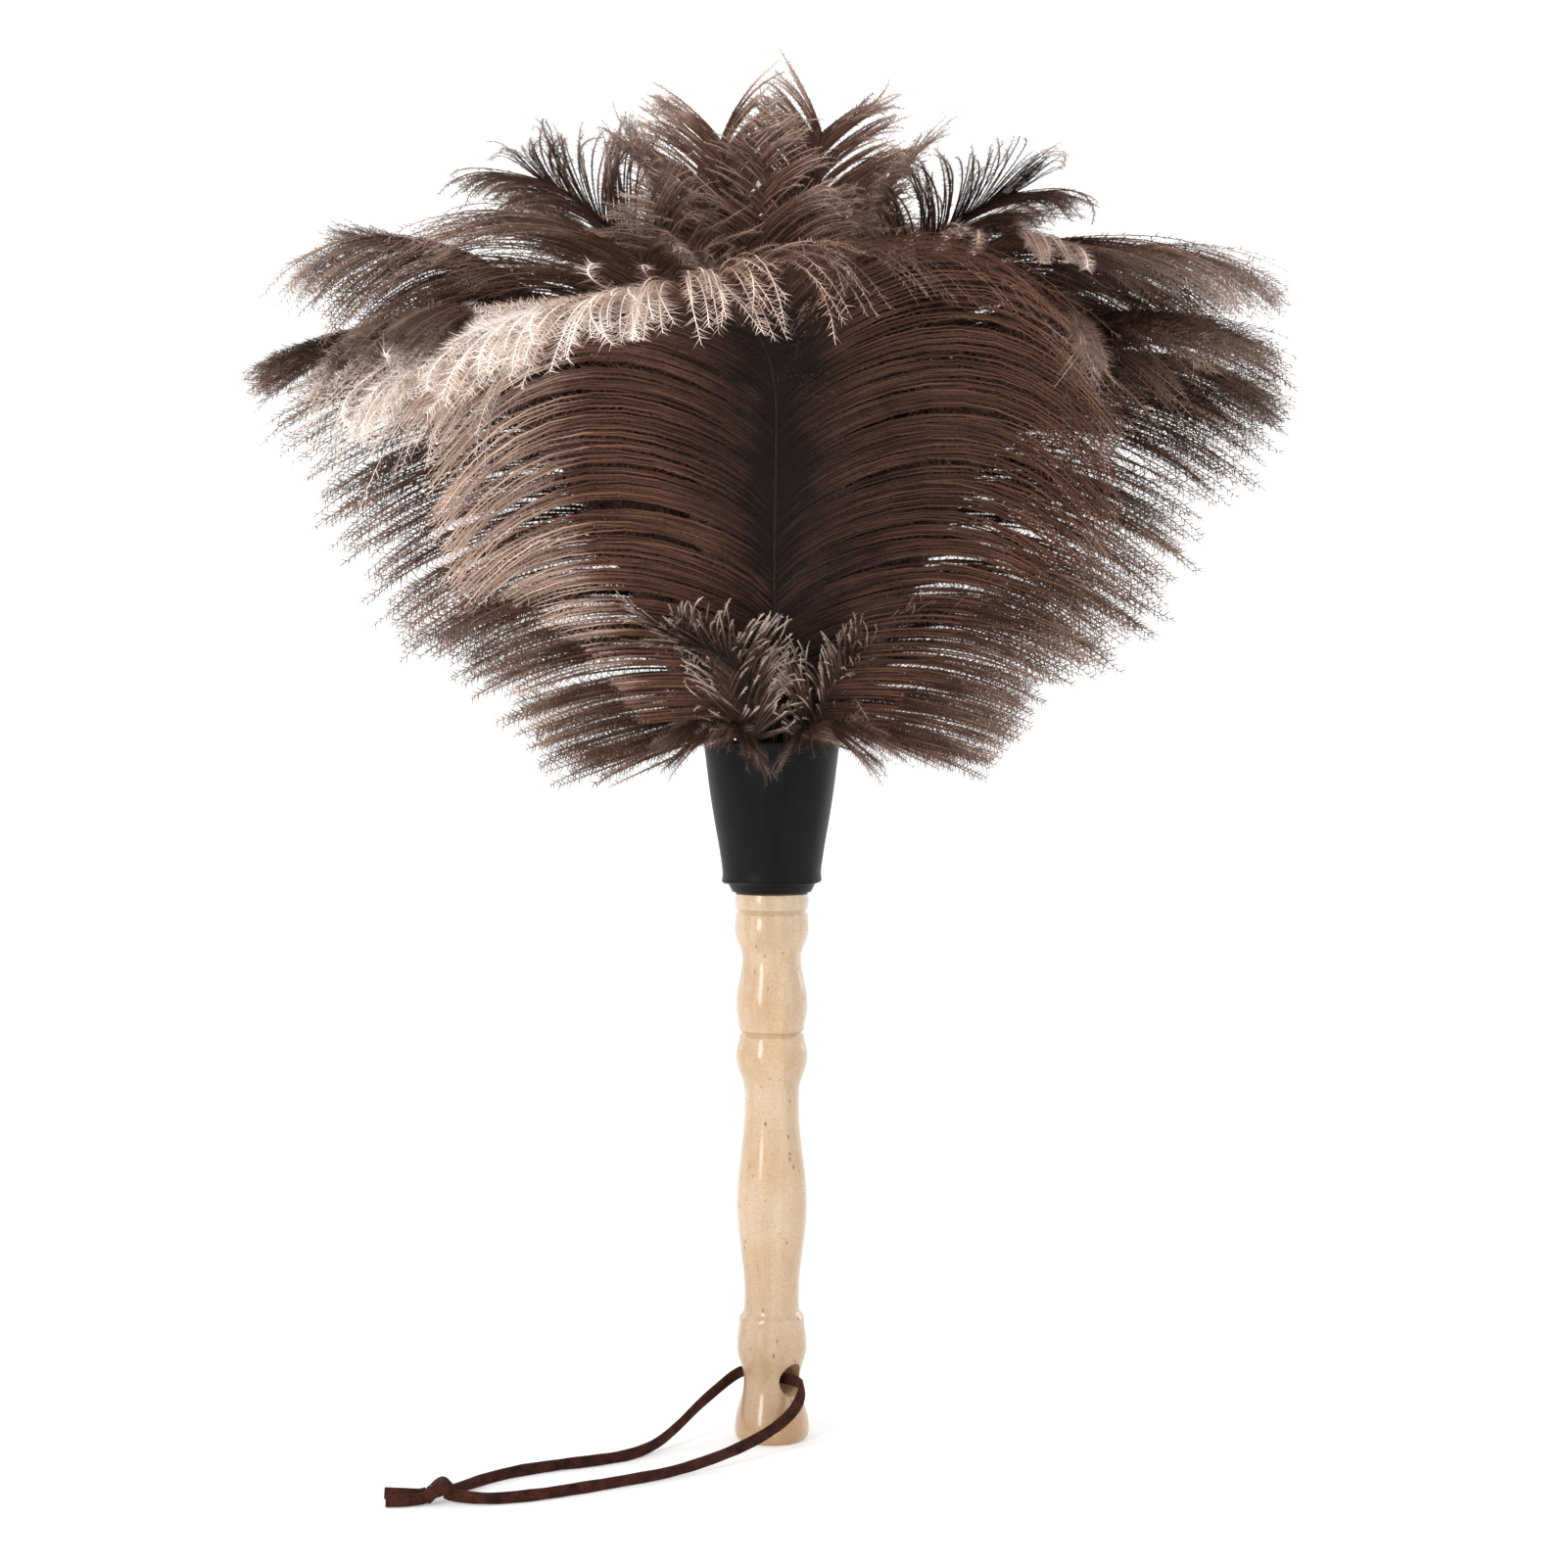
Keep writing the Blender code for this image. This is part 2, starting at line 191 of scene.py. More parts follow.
# What every feather has, unless its ring or its own entry says otherwise. Pairs are for the barbs left and
# right of the shaft, as seen from outside the head
USUAL = {
    "shaft_share": 0.80,  # where on its route the shaft ends
    "group": 6,  # barbs that cling together
    "tip_rough": 0.4,  # how much more unruly the tip is
    "tip_light": 0.3,  # how much paler the last barbs are
    "fold": 1.6,  # the higher, the later along the shaft its sweep sets in
    "side_lengths": (1, 1),
    "side_limps": (1, 1),
    "foot_spread": 0.55,  # how far the lowest barbs lean back towards the quill
    "crowding": 0.95,  # above 1, barbs stand closer near the quill; below 1, near the tip
    "tip_length": 0.55,  # the last barbs' length, as a share of the longest
    "rough_power": 1.0,  # the lower, the further from the tip its roughness sets in
    "tip_fluff": 0.15,  # how much longer the barbules are at the tip
    "opening": 34,  # degrees between barb and barbule
    "tip_opening": 0,  # degrees more at the tip
    "pale_from": 0.74,  # share of the shaft above which tip_light makes the barbs paler
    "pale_side": -0.3,  # shade per metre towards +X: below 0, the left of the head is paler
}

# Feather rings. route is the shaft's, as in the CAD, (radius, height) in millimetres. sweep is how many
# degrees its tip goes to one side, and bare how many millimetres of quill it has. barbs is how many stand on
# each side, barbules how many each barb has; barb_length and barbule_reach are in millimetres. grow_barbs
# explains forward, limp, turn, splay and clump, and unruly is how much they vary. A tuft's plumes are listed
# as (turn in radians, shaft_share)
FEATHERS_PER_RING = 6
RINGS = {
    "crown": {
        "route": ((6.2, 177), (6.7, 206), (9.5, 255), (16, 318), (33, 368), (56, 389), (82, 384)),
        "first_azimuth": -60,
        "sweep": 8,
        "bare": 70,
        "barb_length": 42,
        "barbs": 260,
        "barbules": 60,
        "forward": (0.75, 1.5),
        "limp": 0.3,
        "turn": 8,
        "splay": 0.1,
        "clump": 0.2,
        "unruly": 1.4,
        "barbule_reach": 1.1,
        "colours": "crest",
    },
    "inner": {
        "route": ((8.5, 177), (9.6, 206), (15.5, 252), (29, 311), (56, 354), (90, 367), (120, 352)),
        "first_azimuth": -90,
        "sweep": -10,
        "bare": 40,
        "barb_length": 60,
        "barbs": 260,
        "barbules": 90,
        "forward": (0.55, 1.3),
        "limp": 0.55,
        "turn": 25,
        "splay": 0.2,
        "clump": 0.35,
        "unruly": 1.5,
        "barbule_reach": 1.5,
        "colours": "mid",
        "tip_light": 0.2,
    },
    "middle": {
        "route": ((10.8, 177), (12.6, 206), (21, 247), (40, 299), (74, 337), (113, 345), (146, 324)),
        "first_azimuth": -60,
        "sweep": 12,
        "bare": 34,
        "barb_length": 80,
        "barbs": 270,
        "barbules": 90,
        "forward": (0.4, 1.4),
        "limp": 1.3,
        "turn": 30,
        "splay": 0.35,
        "clump": 0.5,
        "unruly": 1.4,
        "group": 8,
        "barbule_reach": 2.1,
        "colours": "brown",
    },
    "outer": {
        "route": ((13.1, 177), (15.8, 206), (26, 242), (45, 285), (78, 317), (114, 321), (146, 297)),
        "shaft_share": 0.84,
        "first_azimuth": -90,
        "sweep": -24,
        "bare": 33,
        "barb_length": 96,
        "barbs": 320,
        "barbules": 100,
        "forward": (0.28, 1.3),
        "limp": 1.3,
        "turn": 26,
        "splay": 0.3,
        "clump": 0.25,
        "unruly": 0.9,
        "barbule_reach": 1.9,
        "colours": "vane",
    },
    "tuft": {
        "route": (
            (13.1, 177),
            (15.2, 200),
            (18.2, 208),
            (24, 219),
            (32, 229),
            (42, 235),
            (52, 234),
            (60, 227),
        ),
        "shaft_share": 0.58,
        "first_azimuth": -60,
        "sweep": 0,
        "bare": 29,
        "barb_length": 25,
        "barbs": 44,
        "barbules": 50,
        "forward": (1.7, 2.6),
        "foot_spread": 1.4,
        "limp": 0.0,
        "turn": 10,
        "plumes": ((-0.34, 0.78), (0.0, 0.44), (0.30, 0.62)),
        "splay": 0.1,
        "clump": 0.25,
        "unruly": 3.0,
        "group": 5,
        "barbule_reach": 0.8,
        "colours": "down",
        "tip_light": 0.0,
    },
}
# Feathers that differ from the rest of their ring. FLARED ones fill the sides of the head
FLARED = {
    "turn": -12,
    "splay": 1.5,
    "limp": 1.8,
    "barb_length": 104,
    "barbs": 400,
    "forward": (0.25, 1.2),
    "unruly": 0.8,
    "clump": 0.04,
    "crowding": 1.15,
    "barbule_reach": 2.4,
    "opening": 45,
    "colours": "side",
}
SPECIAL = {
    "outer_1": {
        "sweep": -80,
        "fold": 2.6,
        "barbs": 420,
        "barbules": 92,
        "barb_length": 108,
        "tip_length": 0.44,
        "forward": (0.5, 2.2),
        "turn": 18,
        "shaft_share": 0.885,
        "splay": 0.1,
        "limp": 1.7,
        "tip_light": 1.7,
        "pale_from": 0.62,
        "rough_power": 0.5,
        "crowding": 1.15,
        "pale_side": -2.5,
        "tip_rough": 12.0,
        "unruly": 0.32,
        "clump": 0.07,
        "group": 5,
        "barbule_reach": 2.4,
        "tip_opening": 22,
        "tip_fluff": 0.9,
    },
    "outer_2": {**FLARED, "barbule_reach": 2.9},
    "outer_3": {**FLARED, "splay": 1.2, "barbule_reach": 2.9},
    "outer_5": {**FLARED, "splay": 1.2, "barbule_reach": 2.9},
    "outer_6": {
        **FLARED,
        "sweep": 2,
        "barbs": 480,
        "barbules": 120,
        "barbule_reach": 2.9,
        "pale_side": 0.6,
    },
    "middle_1": {
        "sweep": 8,
        "shaft_share": 0.82,
        "barb_length": 70,
        "clump": 0.4,
        "tip_light": 0.55,
        "opening": 50,
        "tip_rough": 1.5,
        "turn": 8,
        "barbs": 360,
        "forward": (0.2, 1.4),
        "side_lengths": (0.7, 1.3),
    },
    "middle_2": {
        **FLARED,
        "limp": 2.6,
        "side_limps": (1.0, -0.2),
        "side_lengths": (1.0, 0.62),
    },
    "middle_5": {
        **FLARED,
        "barbs": 440,
        "limp": 2.6,
        "side_limps": (-0.2, 1.0),
        "side_lengths": (0.62, 1.0),
    },
    "middle_6": {
        "shaft_share": 0.70,
        "barbs": 360,
        "forward": (0.2, 1.4),
        "turn": 8,
        "side_lengths": (1.3, 0.6),
    },
    "inner_1": {"shaft_share": 0.66},
}
# A shaft's sweep sets in at BEND_FROM, a share of its route. Feathers of a ring differ at random, by degrees
# of sweep and azimuth, a share of the radius and metres of height
BEND_FROM = 0.5
SWEEP_SPREAD = 6
AZIMUTH_SPREAD = 3
RADIUS_SPREAD = 0.03
HEIGHT_SPREAD = 0.004
FIRST_SEED = 101

# Distances below are in metres. No barb reaches further out than this, give or take a little
HEAD_RADIUS = 0.148
HEAD_RADIUS_SPREAD = 0.0025
HEAD_RADIUS_MOST = 0.153
# Barbs below the collar's rim stay this far from the handle's axis
COLLAR_RIM = 0.206
COLLAR_HEIGHT = 0.04
COLLAR_KEEP_OUT = 0.0215
# The big feathers that lie over all the others are every second one of the outer ring. What is under one
# stays COVER_GAP inside its shaft, and further in to the sides, along an arc of radius COVER_CURVE
COVER_AZIMUTHS = (-90, 30, 150)
COVER_GAP = 0.005
COVER_CURVE = 0.22
COVER_HALF_WIDTH = RINGS["outer"]["barb_length"] * MM * 0.8
COVER_FOOT = COLLAR_RIM + 0.006

ROUTE_POINTS = 200
SHAFT_POINTS = 72
SHAFT_SIDES = 8
SHAFT_RADIUS = 0.0009
SHAFT_TIP_BARE = 0.0005
BARB_POINTS = 12
BARB_HALF_WIDTH = 0.00034
BARB_RIDGE = 0.00012
BARBULE_HALF_WIDTH = 0.00020
# How much barbs differ, times unruly: (with their group, each by itself)
LEAN_SPREAD = (0.08, 0.06)
LENGTH_SPREAD = (0.05, 0.07)
LIMP_SPREAD = (0.12, 0.12)
SPLAY_SPREAD = (0.06, 0.06)
DRIFT_SPREAD = 0.06
CURL_SPREAD = 0.22
# Extra lean at a barb's root, and the share of its length over which that fades
ROOT_SLANT = 0.9
ROOT_SLANT_REACH = 0.07
# How much barbules differ: degrees of opening, and how far they point out of the vane's face
OPENING_SPREAD = 12
LIFT_SPREAD = 0.28
# Rows of the UV square: SHAFT_ROWS for the shaft and one for each barb. Its ribbon goes up from
# RIBBON_LOW_ROW, RIBBON_HALF_ROW to the ridge and as much beyond it, and its barbules start and end this far
# from the middle of the row
SHAFT_ROWS = 8
RIBBON_LOW_ROW = 0.22
RIBBON_HALF_ROW = 0.28
BARBULE_ROOT_ROW = 0.26
BARBULE_TIP_ROW = 0.45

# Feather colours, linear: beside the shaft, half way out, at the barb tips. These and PLUME_PALE are reached
# where the shade, which is mostly the distance along the barb, has the values of SHADES
SHADES = (0.52, 1.12, 1.55, 2.05)
SHADE_RANGE = 2.1
STRAND_SHARE = 0.30
PATCH_SHARE = 0.55
# How much brighter each barb's ridge is painted: a painted highlight
RIDGE_HIGHLIGHT_GAIN = 2.3
PLUME_PALE = (0.84, 0.72, 0.64)
FEATHER_COLOURS = {
    "side": ((0.016, 0.0078, 0.006), (0.085, 0.044, 0.031), (0.25, 0.165, 0.125)),
    "crest": ((0.018, 0.009, 0.007), (0.15, 0.080, 0.056), (0.44, 0.31, 0.25)),
    "mid": ((0.018, 0.0085, 0.0065), (0.12, 0.063, 0.045), (0.36, 0.25, 0.20)),
    "brown": ((0.018, 0.0085, 0.0065), (0.125, 0.066, 0.047), (0.40, 0.28, 0.22)),
    "vane": ((0.007, 0.0035, 0.0030), (0.104, 0.048, 0.031), (0.55, 0.39, 0.31)),
    "down": ((0.009, 0.005, 0.004), (0.070, 0.040, 0.030), (0.60, 0.48, 0.40)),
}


# ---------------------------------------------------------------- routes


def smooth_points(points, count):
    """The given number of points, evenly spread along a smooth curve through all the points."""
    points = np.asarray(points, float)
    ends = np.vstack([2 * points[0] - points[1], points, 2 * points[-1] - points[-2]])
    fine = []
    for before, start, stop, after in zip(ends, ends[1:], ends[2:], ends[3:]):
        t = np.linspace(0, 1, 24, endpoint=False)[:, None]
        fine.append(
            0.5
            * (
                2 * start
                + (stop - before) * t
                + (2 * before - 5 * start + 4 * stop - after) * t**2
                + (3 * start - 3 * stop + after - before) * t**3
            )
        )
    fine = np.vstack([*fine, points[-1:]])
    travelled = np.r_[0, np.cumsum(np.linalg.norm(np.diff(fine, axis=0), axis=1))]
    wanted = np.linspace(0, travelled[-1], count)
    return np.stack([np.interp(wanted, travelled, fine[:, k]) for k in range(fine.shape[1])], 1)


def unit(vectors):
    return vectors / np.maximum(np.linalg.norm(vectors, axis=-1, keepdims=True), 1e-12)


def tangents(route):
    return unit(np.gradient(route, axis=0))


# ---------------------------------------------------------------- materials


def new_material(name, settings):
    """A material, its node tree and its Principled shader, with the settings that are the same all over."""
    material = bpy.data.materials.new(name)
    material.use_nodes = True
    shader = material.node_tree.nodes["Principled BSDF"]
    for key, value in settings.items():
        shader.inputs[key].default_value = value
    return material, material.node_tree, shader


def node(tree, kind, **settings):
    """A new node; each setting is the value of an input or one of the node's own options."""
    made = tree.nodes.new(kind)
    for key, value in settings.items():
        if key in made.inputs:
            made.inputs[key].default_value = value
        else:
            setattr(made, key, value)
    return made


def stretched(tree, space, **settings):
    """The coordinates, multiplied by Scale and moved by Location."""
    mapping = node(tree, "ShaderNodeMapping", **settings)
    tree.links.new(space, mapping.inputs["Vector"])
    return mapping.outputs["Vector"]


def object_space(tree):
    return node(tree, "ShaderNodeTexCoord").outputs["Object"]


def noise(tree, space, **settings):
    texture = node(tree, "ShaderNodeTexNoise", **settings)
    tree.links.new(space, texture.inputs["Vector"])
    return texture.outputs["Fac"]


def axes_of(tree, space):
    """The X, Y and Z of the coordinates."""
    parts = node(tree, "ShaderNodeSeparateXYZ")
    tree.links.new(space, parts.inputs[0])
    return parts.outputs["X"], parts.outputs["Y"], parts.outputs["Z"]


def bump(tree, height, strength, distance, normal=None, invert=False):
    made = node(tree, "ShaderNodeBump", Strength=strength, Distance=distance, invert=invert)
    tree.links.new(height, made.inputs["Height"])
    if normal is not None:
        tree.links.new(normal, made.inputs["Normal"])
    return made.outputs["Normal"]


def math_node(tree, operation, first, second=None):
    made = tree.nodes.new("ShaderNodeMath")
    made.operation = operation
    for value, socket in zip((first, second), made.inputs):
        if isinstance(value, (int, float)):
            socket.default_value = value
        elif value is not None:
            tree.links.new(value, socket)
    return made.outputs[0]


def sum_of(tree, first, *weighted):
    """first plus each (value, weight)."""
    total = first
    for value, weight in weighted:
        total = math_node(tree, "ADD", total, math_node(tree, "MULTIPLY", value, weight))
    return total


def ramp(tree, fac, stops, scale=1.0):
    """A colour ramp of fac with stops (value, colour); scale brings values above 1 into the ramp's range."""
    made = tree.nodes.new("ShaderNodeValToRGB")
    elements = made.color_ramp.elements
    while len(elements) < len(stops):
        elements.new(0.5)
    for element, (place, colour) in zip(elements, stops):
        element.position = place * scale
        element.color = (*colour, 1)
    if scale != 1.0:
        fac = math_node(tree, "MULTIPLY", fac, scale)
    tree.links.new(fac, made.inputs["Fac"])
    return made.outputs["Color"]


def mix(tree, kind, factor, first, second):
    made = tree.nodes.new("ShaderNodeMix")
    made.data_type = "RGBA"
    made.blend_type = kind
    for value, socket in ((factor, made.inputs[0]), (first, made.inputs[6]), (second, made.inputs[7])):
        if isinstance(value, (int, float)):
            socket.default_value = value
        elif isinstance(value, tuple):
            socket.default_value = (*value, 1)
        else:
            tree.links.new(value, socket)
    return made.outputs[2]


def grey(level):
    return (level, level, level)


def feather_material(name, look, seed):
    """Barbs: dark beside the shaft and paler to their tips, each a little different, with a painted highlight
    along each ridge.

    The UVs are those of barb_ribbons: X is the distance along the barb, and Y is its place along the shaft.
    """
    rows = look["rows"]
    pale_from = look["pale_from"]
    material, tree, shader = new_material(name, {"Roughness": 0.55, "Specular IOR Level": 0.10})
    uv = node(tree, "ShaderNodeUVMap", uv_map="OFBake").outputs["UV"]
    along, height, _ = axes_of(tree, uv)
    strand_space = stretched(tree, uv, Location=(seed * 3.7, 0, 0), Scale=(4.0, rows / 3.0, 1.0))
    strands = noise(tree, strand_space, Scale=1.0, Detail=2.0)
    place = object_space(tree)
    patches = noise(tree, place, Scale=26.0, Detail=3.0, Roughness=0.55)
    aside, _, _ = axes_of(tree, place)
    near_tip = math_node(tree, "MAXIMUM", math_node(tree, "SUBTRACT", height, pale_from), 0.0)
    shade = sum_of(
        tree,
        along,
        (strands, STRAND_SHARE),
        (patches, PATCH_SHARE),
        (near_tip, look["tip_light"] / (1 - pale_from)),
        (aside, look["pale_side"]),
    )
    colours = (*FEATHER_COLOURS[look["colours"]], PLUME_PALE)
    colour = ramp(tree, shade, tuple(zip(SHADES, colours)), scale=1 / SHADE_RANGE)
    strand_light = ramp(tree, strands, ((0.32, grey(0.5)), (0.68, grey(1.35))))
    colour = mix(tree, "MULTIPLY", 1.0, colour, strand_light)
    # Painted highlight: the middle of each barb's row, its ridge, is brightened by a fixed factor
    painted_ridge_highlight = mix(tree, "MULTIPLY", 1.0, colour, grey(RIDGE_HIGHLIGHT_GAIN))
    row = math_node(tree, "FRACT", math_node(tree, "MULTIPLY", height, rows))
    from_ridge = math_node(tree, "ABSOLUTE", math_node(tree, "SUBTRACT", row, 0.5))
    ridge = ramp(tree, from_ridge, ((0.0, grey(1.0)), (0.16, grey(0.0))))
    tree.links.new(mix(tree, "MIX", ridge, colour, painted_ridge_highlight), shader.inputs["Base Color"])
    return material


def shaft_material():
    """Feather shaft: horn brown with fine lengthwise streaks."""
    material, tree, shader = new_material("feather_shaft", {"Roughness": 0.55, "Specular IOR Level": 0.15})
    lengthwise = stretched(tree, object_space(tree), Scale=(1500.0, 1500.0, 60.0))
    streaks = noise(tree, lengthwise, Scale=1.0, Detail=3.0)
    colour = ramp(tree, streaks, ((0.3, (0.006, 0.004, 0.003)), (0.7, (0.026, 0.017, 0.013))))
    tree.links.new(colour, shader.inputs["Base Color"])
    return material


def wood_pores(tree, place):
    """Where the short dark pores are."""
    pores = node(tree, "ShaderNodeTexVoronoi", Scale=560.0)
    tree.links.new(stretched(tree, place, Scale=(1.0, 1.0, 0.42)), pores.inputs["Vector"])
    spots = ramp(tree, pores.outputs["Distance"], ((0.10, grey(1.0)), (0.24, grey(0.0))))
    where = noise(tree, place, Scale=330.0, Detail=1.0)
    chosen = ramp(tree, where, ((0.56, grey(0.0)), (0.63, grey(1.0))))
    return mix(tree, "MULTIPLY", 1.0, spots, chosen)


def wood_material():
    """Pale varnished wood: lengthwise figure, fine speckle, a darker foot, warm patches and short pores."""
    material, tree, shader = new_material("varnished_wood", {"Coat Weight": 0.6, "Coat Roughness": 0.12})
    place = object_space(tree)
    grain = stretched(tree, place, Scale=(1.0, 1.0, 0.09))
    figure = noise(tree, grain, Scale=160.0, Detail=5.0, Roughness=0.55, Distortion=0.6)
    colour = ramp(
        tree,
        figure,
        ((0.28, (0.48, 0.355, 0.235)), (0.50, (0.565, 0.43, 0.30)), (0.74, (0.64, 0.51, 0.375))),
    )
    speckle = noise(tree, place, Scale=2400.0, Detail=2.0, Roughness=0.7)
    _, _, height = axes_of(tree, place)
    broad = noise(tree, place, Scale=42.0, Detail=2.0)
    for pattern, stops in (
        (speckle, ((0.36, (0.84, 0.78, 0.70)), (0.62, grey(1.04)))),
        (height, ((0.022, (0.80, 0.71, 0.62)), (0.060, grey(1.0)))),
        (broad, ((0.42, grey(1.0)), (0.70, (0.93, 0.80, 0.62)))),
    ):
        colour = mix(tree, "MULTIPLY", 1.0, colour, ramp(tree, pattern, stops))
    pores = wood_pores(tree, place)
    tree.links.new(mix(tree, "MIX", pores, colour, (0.20, 0.10, 0.045)), shader.inputs["Base Color"])
    roughness = ramp(tree, figure, ((0.3, grey(0.30)), (0.8, grey(0.18))))
    tree.links.new(roughness, shader.inputs["Roughness"])
    normal = bump(tree, figure, 0.22, 0.0004)
    normal = bump(tree, pores, 0.5, 0.0003, normal, invert=True)
    tree.links.new(normal, shader.inputs["Normal"])
    return material


def collar_material():
    """Satin black plastic with faint upright smears and small scuffs."""
    material, tree, shader = new_material("black_collar", {"Specular IOR Level": 0.10})
    place = object_space(tree)
    upright = stretched(tree, place, Scale=(1.0, 1.0, 0.16))
    smears = noise(tree, upright, Scale=95.0, Detail=4.0, Roughness=0.6)
    scuffs = noise(tree, place, Scale=420.0, Detail=4.0, Roughness=0.7)
    colour = ramp(tree, smears, ((0.35, (0.003, 0.0035, 0.004)), (0.75, (0.009, 0.010, 0.012))))
    pale = ramp(tree, scuffs, ((0.66, grey(0.0)), (0.80, grey(0.35))))
    tree.links.new(mix(tree, "MIX", pale, colour, (0.07, 0.08, 0.09)), shader.inputs["Base Color"])
    roughness = ramp(tree, smears, ((0.3, grey(0.30)), (0.75, grey(0.50))))
    tree.links.new(roughness, shader.inputs["Roughness"])
    tree.links.new(bump(tree, scuffs, 0.10, 0.0003), shader.inputs["Normal"])
    return material


def suede_material():
    """Dark reddish-brown suede with a short uneven nap."""
    settings = {
        "Roughness": 0.85,
        "Specular IOR Level": 0.15,
        "Sheen Weight": 0.08,
        "Sheen Roughness": 0.4,
        "Sheen Tint": (0.55, 0.28, 0.20, 1),
    }
    material, tree, shader = new_material("suede_lace", settings)
    place = object_space(tree)
    nap = noise(tree, place, Scale=2600.0, Detail=3.0, Roughness=0.7)
    patches = noise(tree, place, Scale=260.0, Detail=3.0)
    colour = ramp(tree, patches, ((0.32, (0.015, 0.0042, 0.0026)), (0.68, (0.056, 0.0150, 0.0088))))
    light = ramp(tree, nap, ((0.35, grey(0.6)), (0.70, grey(1.7))))
    tree.links.new(mix(tree, "MULTIPLY", 1.0, colour, light), shader.inputs["Base Color"])
    tree.links.new(bump(tree, nap, 0.5, 0.0003), shader.inputs["Normal"])
    return material


def wire_material():
    """Thin drawn steel wire, slightly dulled."""
    material, tree, shader = new_material("binding_wire", {"Metallic": 1.0})
    marks = noise(tree, object_space(tree), Scale=900.0, Detail=3.0)
    colour = ramp(tree, marks, ((0.35, (0.28, 0.27, 0.25)), (0.7, (0.52, 0.51, 0.48))))
    tree.links.new(colour, shader.inputs["Base Color"])
    roughness = ramp(tree, marks, ((0.3, grey(0.5)), (0.8, grey(0.28))))
    tree.links.new(roughness, shader.inputs["Roughness"])
    return material


def studio_material():
    settings = {
        "Base Color": (0.86, 0.86, 0.86, 1),
        "Emission Color": (1, 1, 1, 1),
        "Emission Strength": 0.22,
        "Roughness": 0.9,
        "Specular IOR Level": 0.1,
    }
    return new_material("studio_white", settings)[0]


# ---------------------------------------------------------------- mesh helpers


def mesh_object(name, points, faces, material, smooth=True, uv=None):
    """A mesh object from arrays: points (n, 3), faces (m, 3 or 4), and uv per face corner if given."""
    mesh = bpy.data.meshes.new(name)
    corners = faces.shape[1]
    mesh.vertices.add(len(points))
    mesh.vertices.foreach_set("co", np.ascontiguousarray(points, np.float32).ravel())
    mesh.loops.add(faces.size)
    mesh.loops.foreach_set("vertex_index", np.ascontiguousarray(faces, np.int32).ravel())
    mesh.polygons.add(len(faces))
    mesh.polygons.foreach_set("loop_start", np.arange(0, faces.size, corners, dtype=np.int32))
    mesh.polygons.foreach_set("use_smooth", np.full(len(faces), smooth))
    if uv is not None:
        layer = mesh.uv_layers.new(name="OFBake")
        layer.data.foreach_set("uv", np.ascontiguousarray(uv, np.float32).ravel())
    mesh.update(calc_edges=True)
    mesh.validate()
    made = bpy.data.objects.new(name, mesh)
    bpy.context.scene.collection.objects.link(made)
    mesh.materials.append(material)
    return made


def tube_quads(rings, sides):
    """The faces between each ring of points and the next."""
    row = np.arange(rings - 1)[:, None] * sides
    here, there = np.arange(sides)[None], (np.arange(sides)[None] + 1) % sides
    return np.stack([row + here, row + there, row + sides + there, row + sides + here], 2).reshape(-1, 4)


def halved(quads):
    """Each quad, or its UVs, as two triangles: first all the lower halves, then all the upper ones."""
    return np.concatenate([quads[:, [0, 1, 2]], quads[:, [0, 2, 3]]])


def place_piece(piece, body, cad_node):
    """Fixes a piece to its body, in the place of its CAD node."""
    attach(piece, body)
    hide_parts(cad_node)


def half_cosine(turning):
    """(height, radius) points of a turned outline that swells and narrows smoothly between its crests."""
    outline = []
    for (low, thin), (high, thick) in zip(turning, turning[1:]):
        for step in range(STEPS_PER_CURVE):
            t = step / STEPS_PER_CURVE
            ease = (1 - math.cos(math.pi * t)) / 2
            outline.append((low + (high - low) * t, thin + (thick - thin) * ease))
    outline.append(turning[-1])
    return outline


def turned(name, outline, material, segments=SEGMENTS, wobble=None):
    """A body turned about Z from (height, radius) points in millimetres, going up its outside."""
    outline = np.array(outline, float) * MM
    turns = np.linspace(0, 2 * math.pi, segments, endpoint=False)
    height = np.repeat(outline[:, :1], segments, 1)
    radius = np.repeat(outline[:, 1:], segments, 1)
    angle = np.repeat(turns[None], len(outline), 0)
    if wobble:
        radius, height = wobble(radius, angle, height)
    points = np.stack([radius * np.cos(angle), radius * np.sin(angle), height], 2)
    made = mesh_object(name, points.reshape(-1, 3), tube_quads(len(outline), segments), material)
    shape = bmesh.new()
    shape.from_mesh(made.data)
    bmesh.ops.remove_doubles(shape, verts=shape.verts, dist=1e-6)
    bmesh.ops.recalc_face_normals(shape, faces=shape.faces)
    shape.to_mesh(made.data)
    shape.free()
    made.data.shade_smooth()
    return made


# ---------------------------------------------------------------- handle and collar


def make_handle(material):
    outline = [
        (0.0, 0.0),
        (0.0, FOOT_FLAT_RADIUS),
        *FOOT_EDGE,
        *half_cosine(HANDLE_TURNING),
        *LOWER_GROOVE,
        *half_cosine(HANDLE_TOP_TURNING),
        *UPPER_GROOVE,
        *COLLAR_RING,
        (PLUG_FOOT, PLUG_RADIUS),
        (PLUG_TOP, PLUG_RADIUS),
        (PLUG_TOP, SPINDLE_RADIUS),
        (SPINDLE_TOP, SPINDLE_RADIUS),
        (SPINDLE_TOP, 0.0),
    ]
    handle = turned("turned_handle", outline, material)
    cut_lace_hole(handle, material)
    handle.data.set_sharp_from_angle(angle=WOOD_SHARP_ANGLE)
    place_piece(handle, DUSTER, "handle")


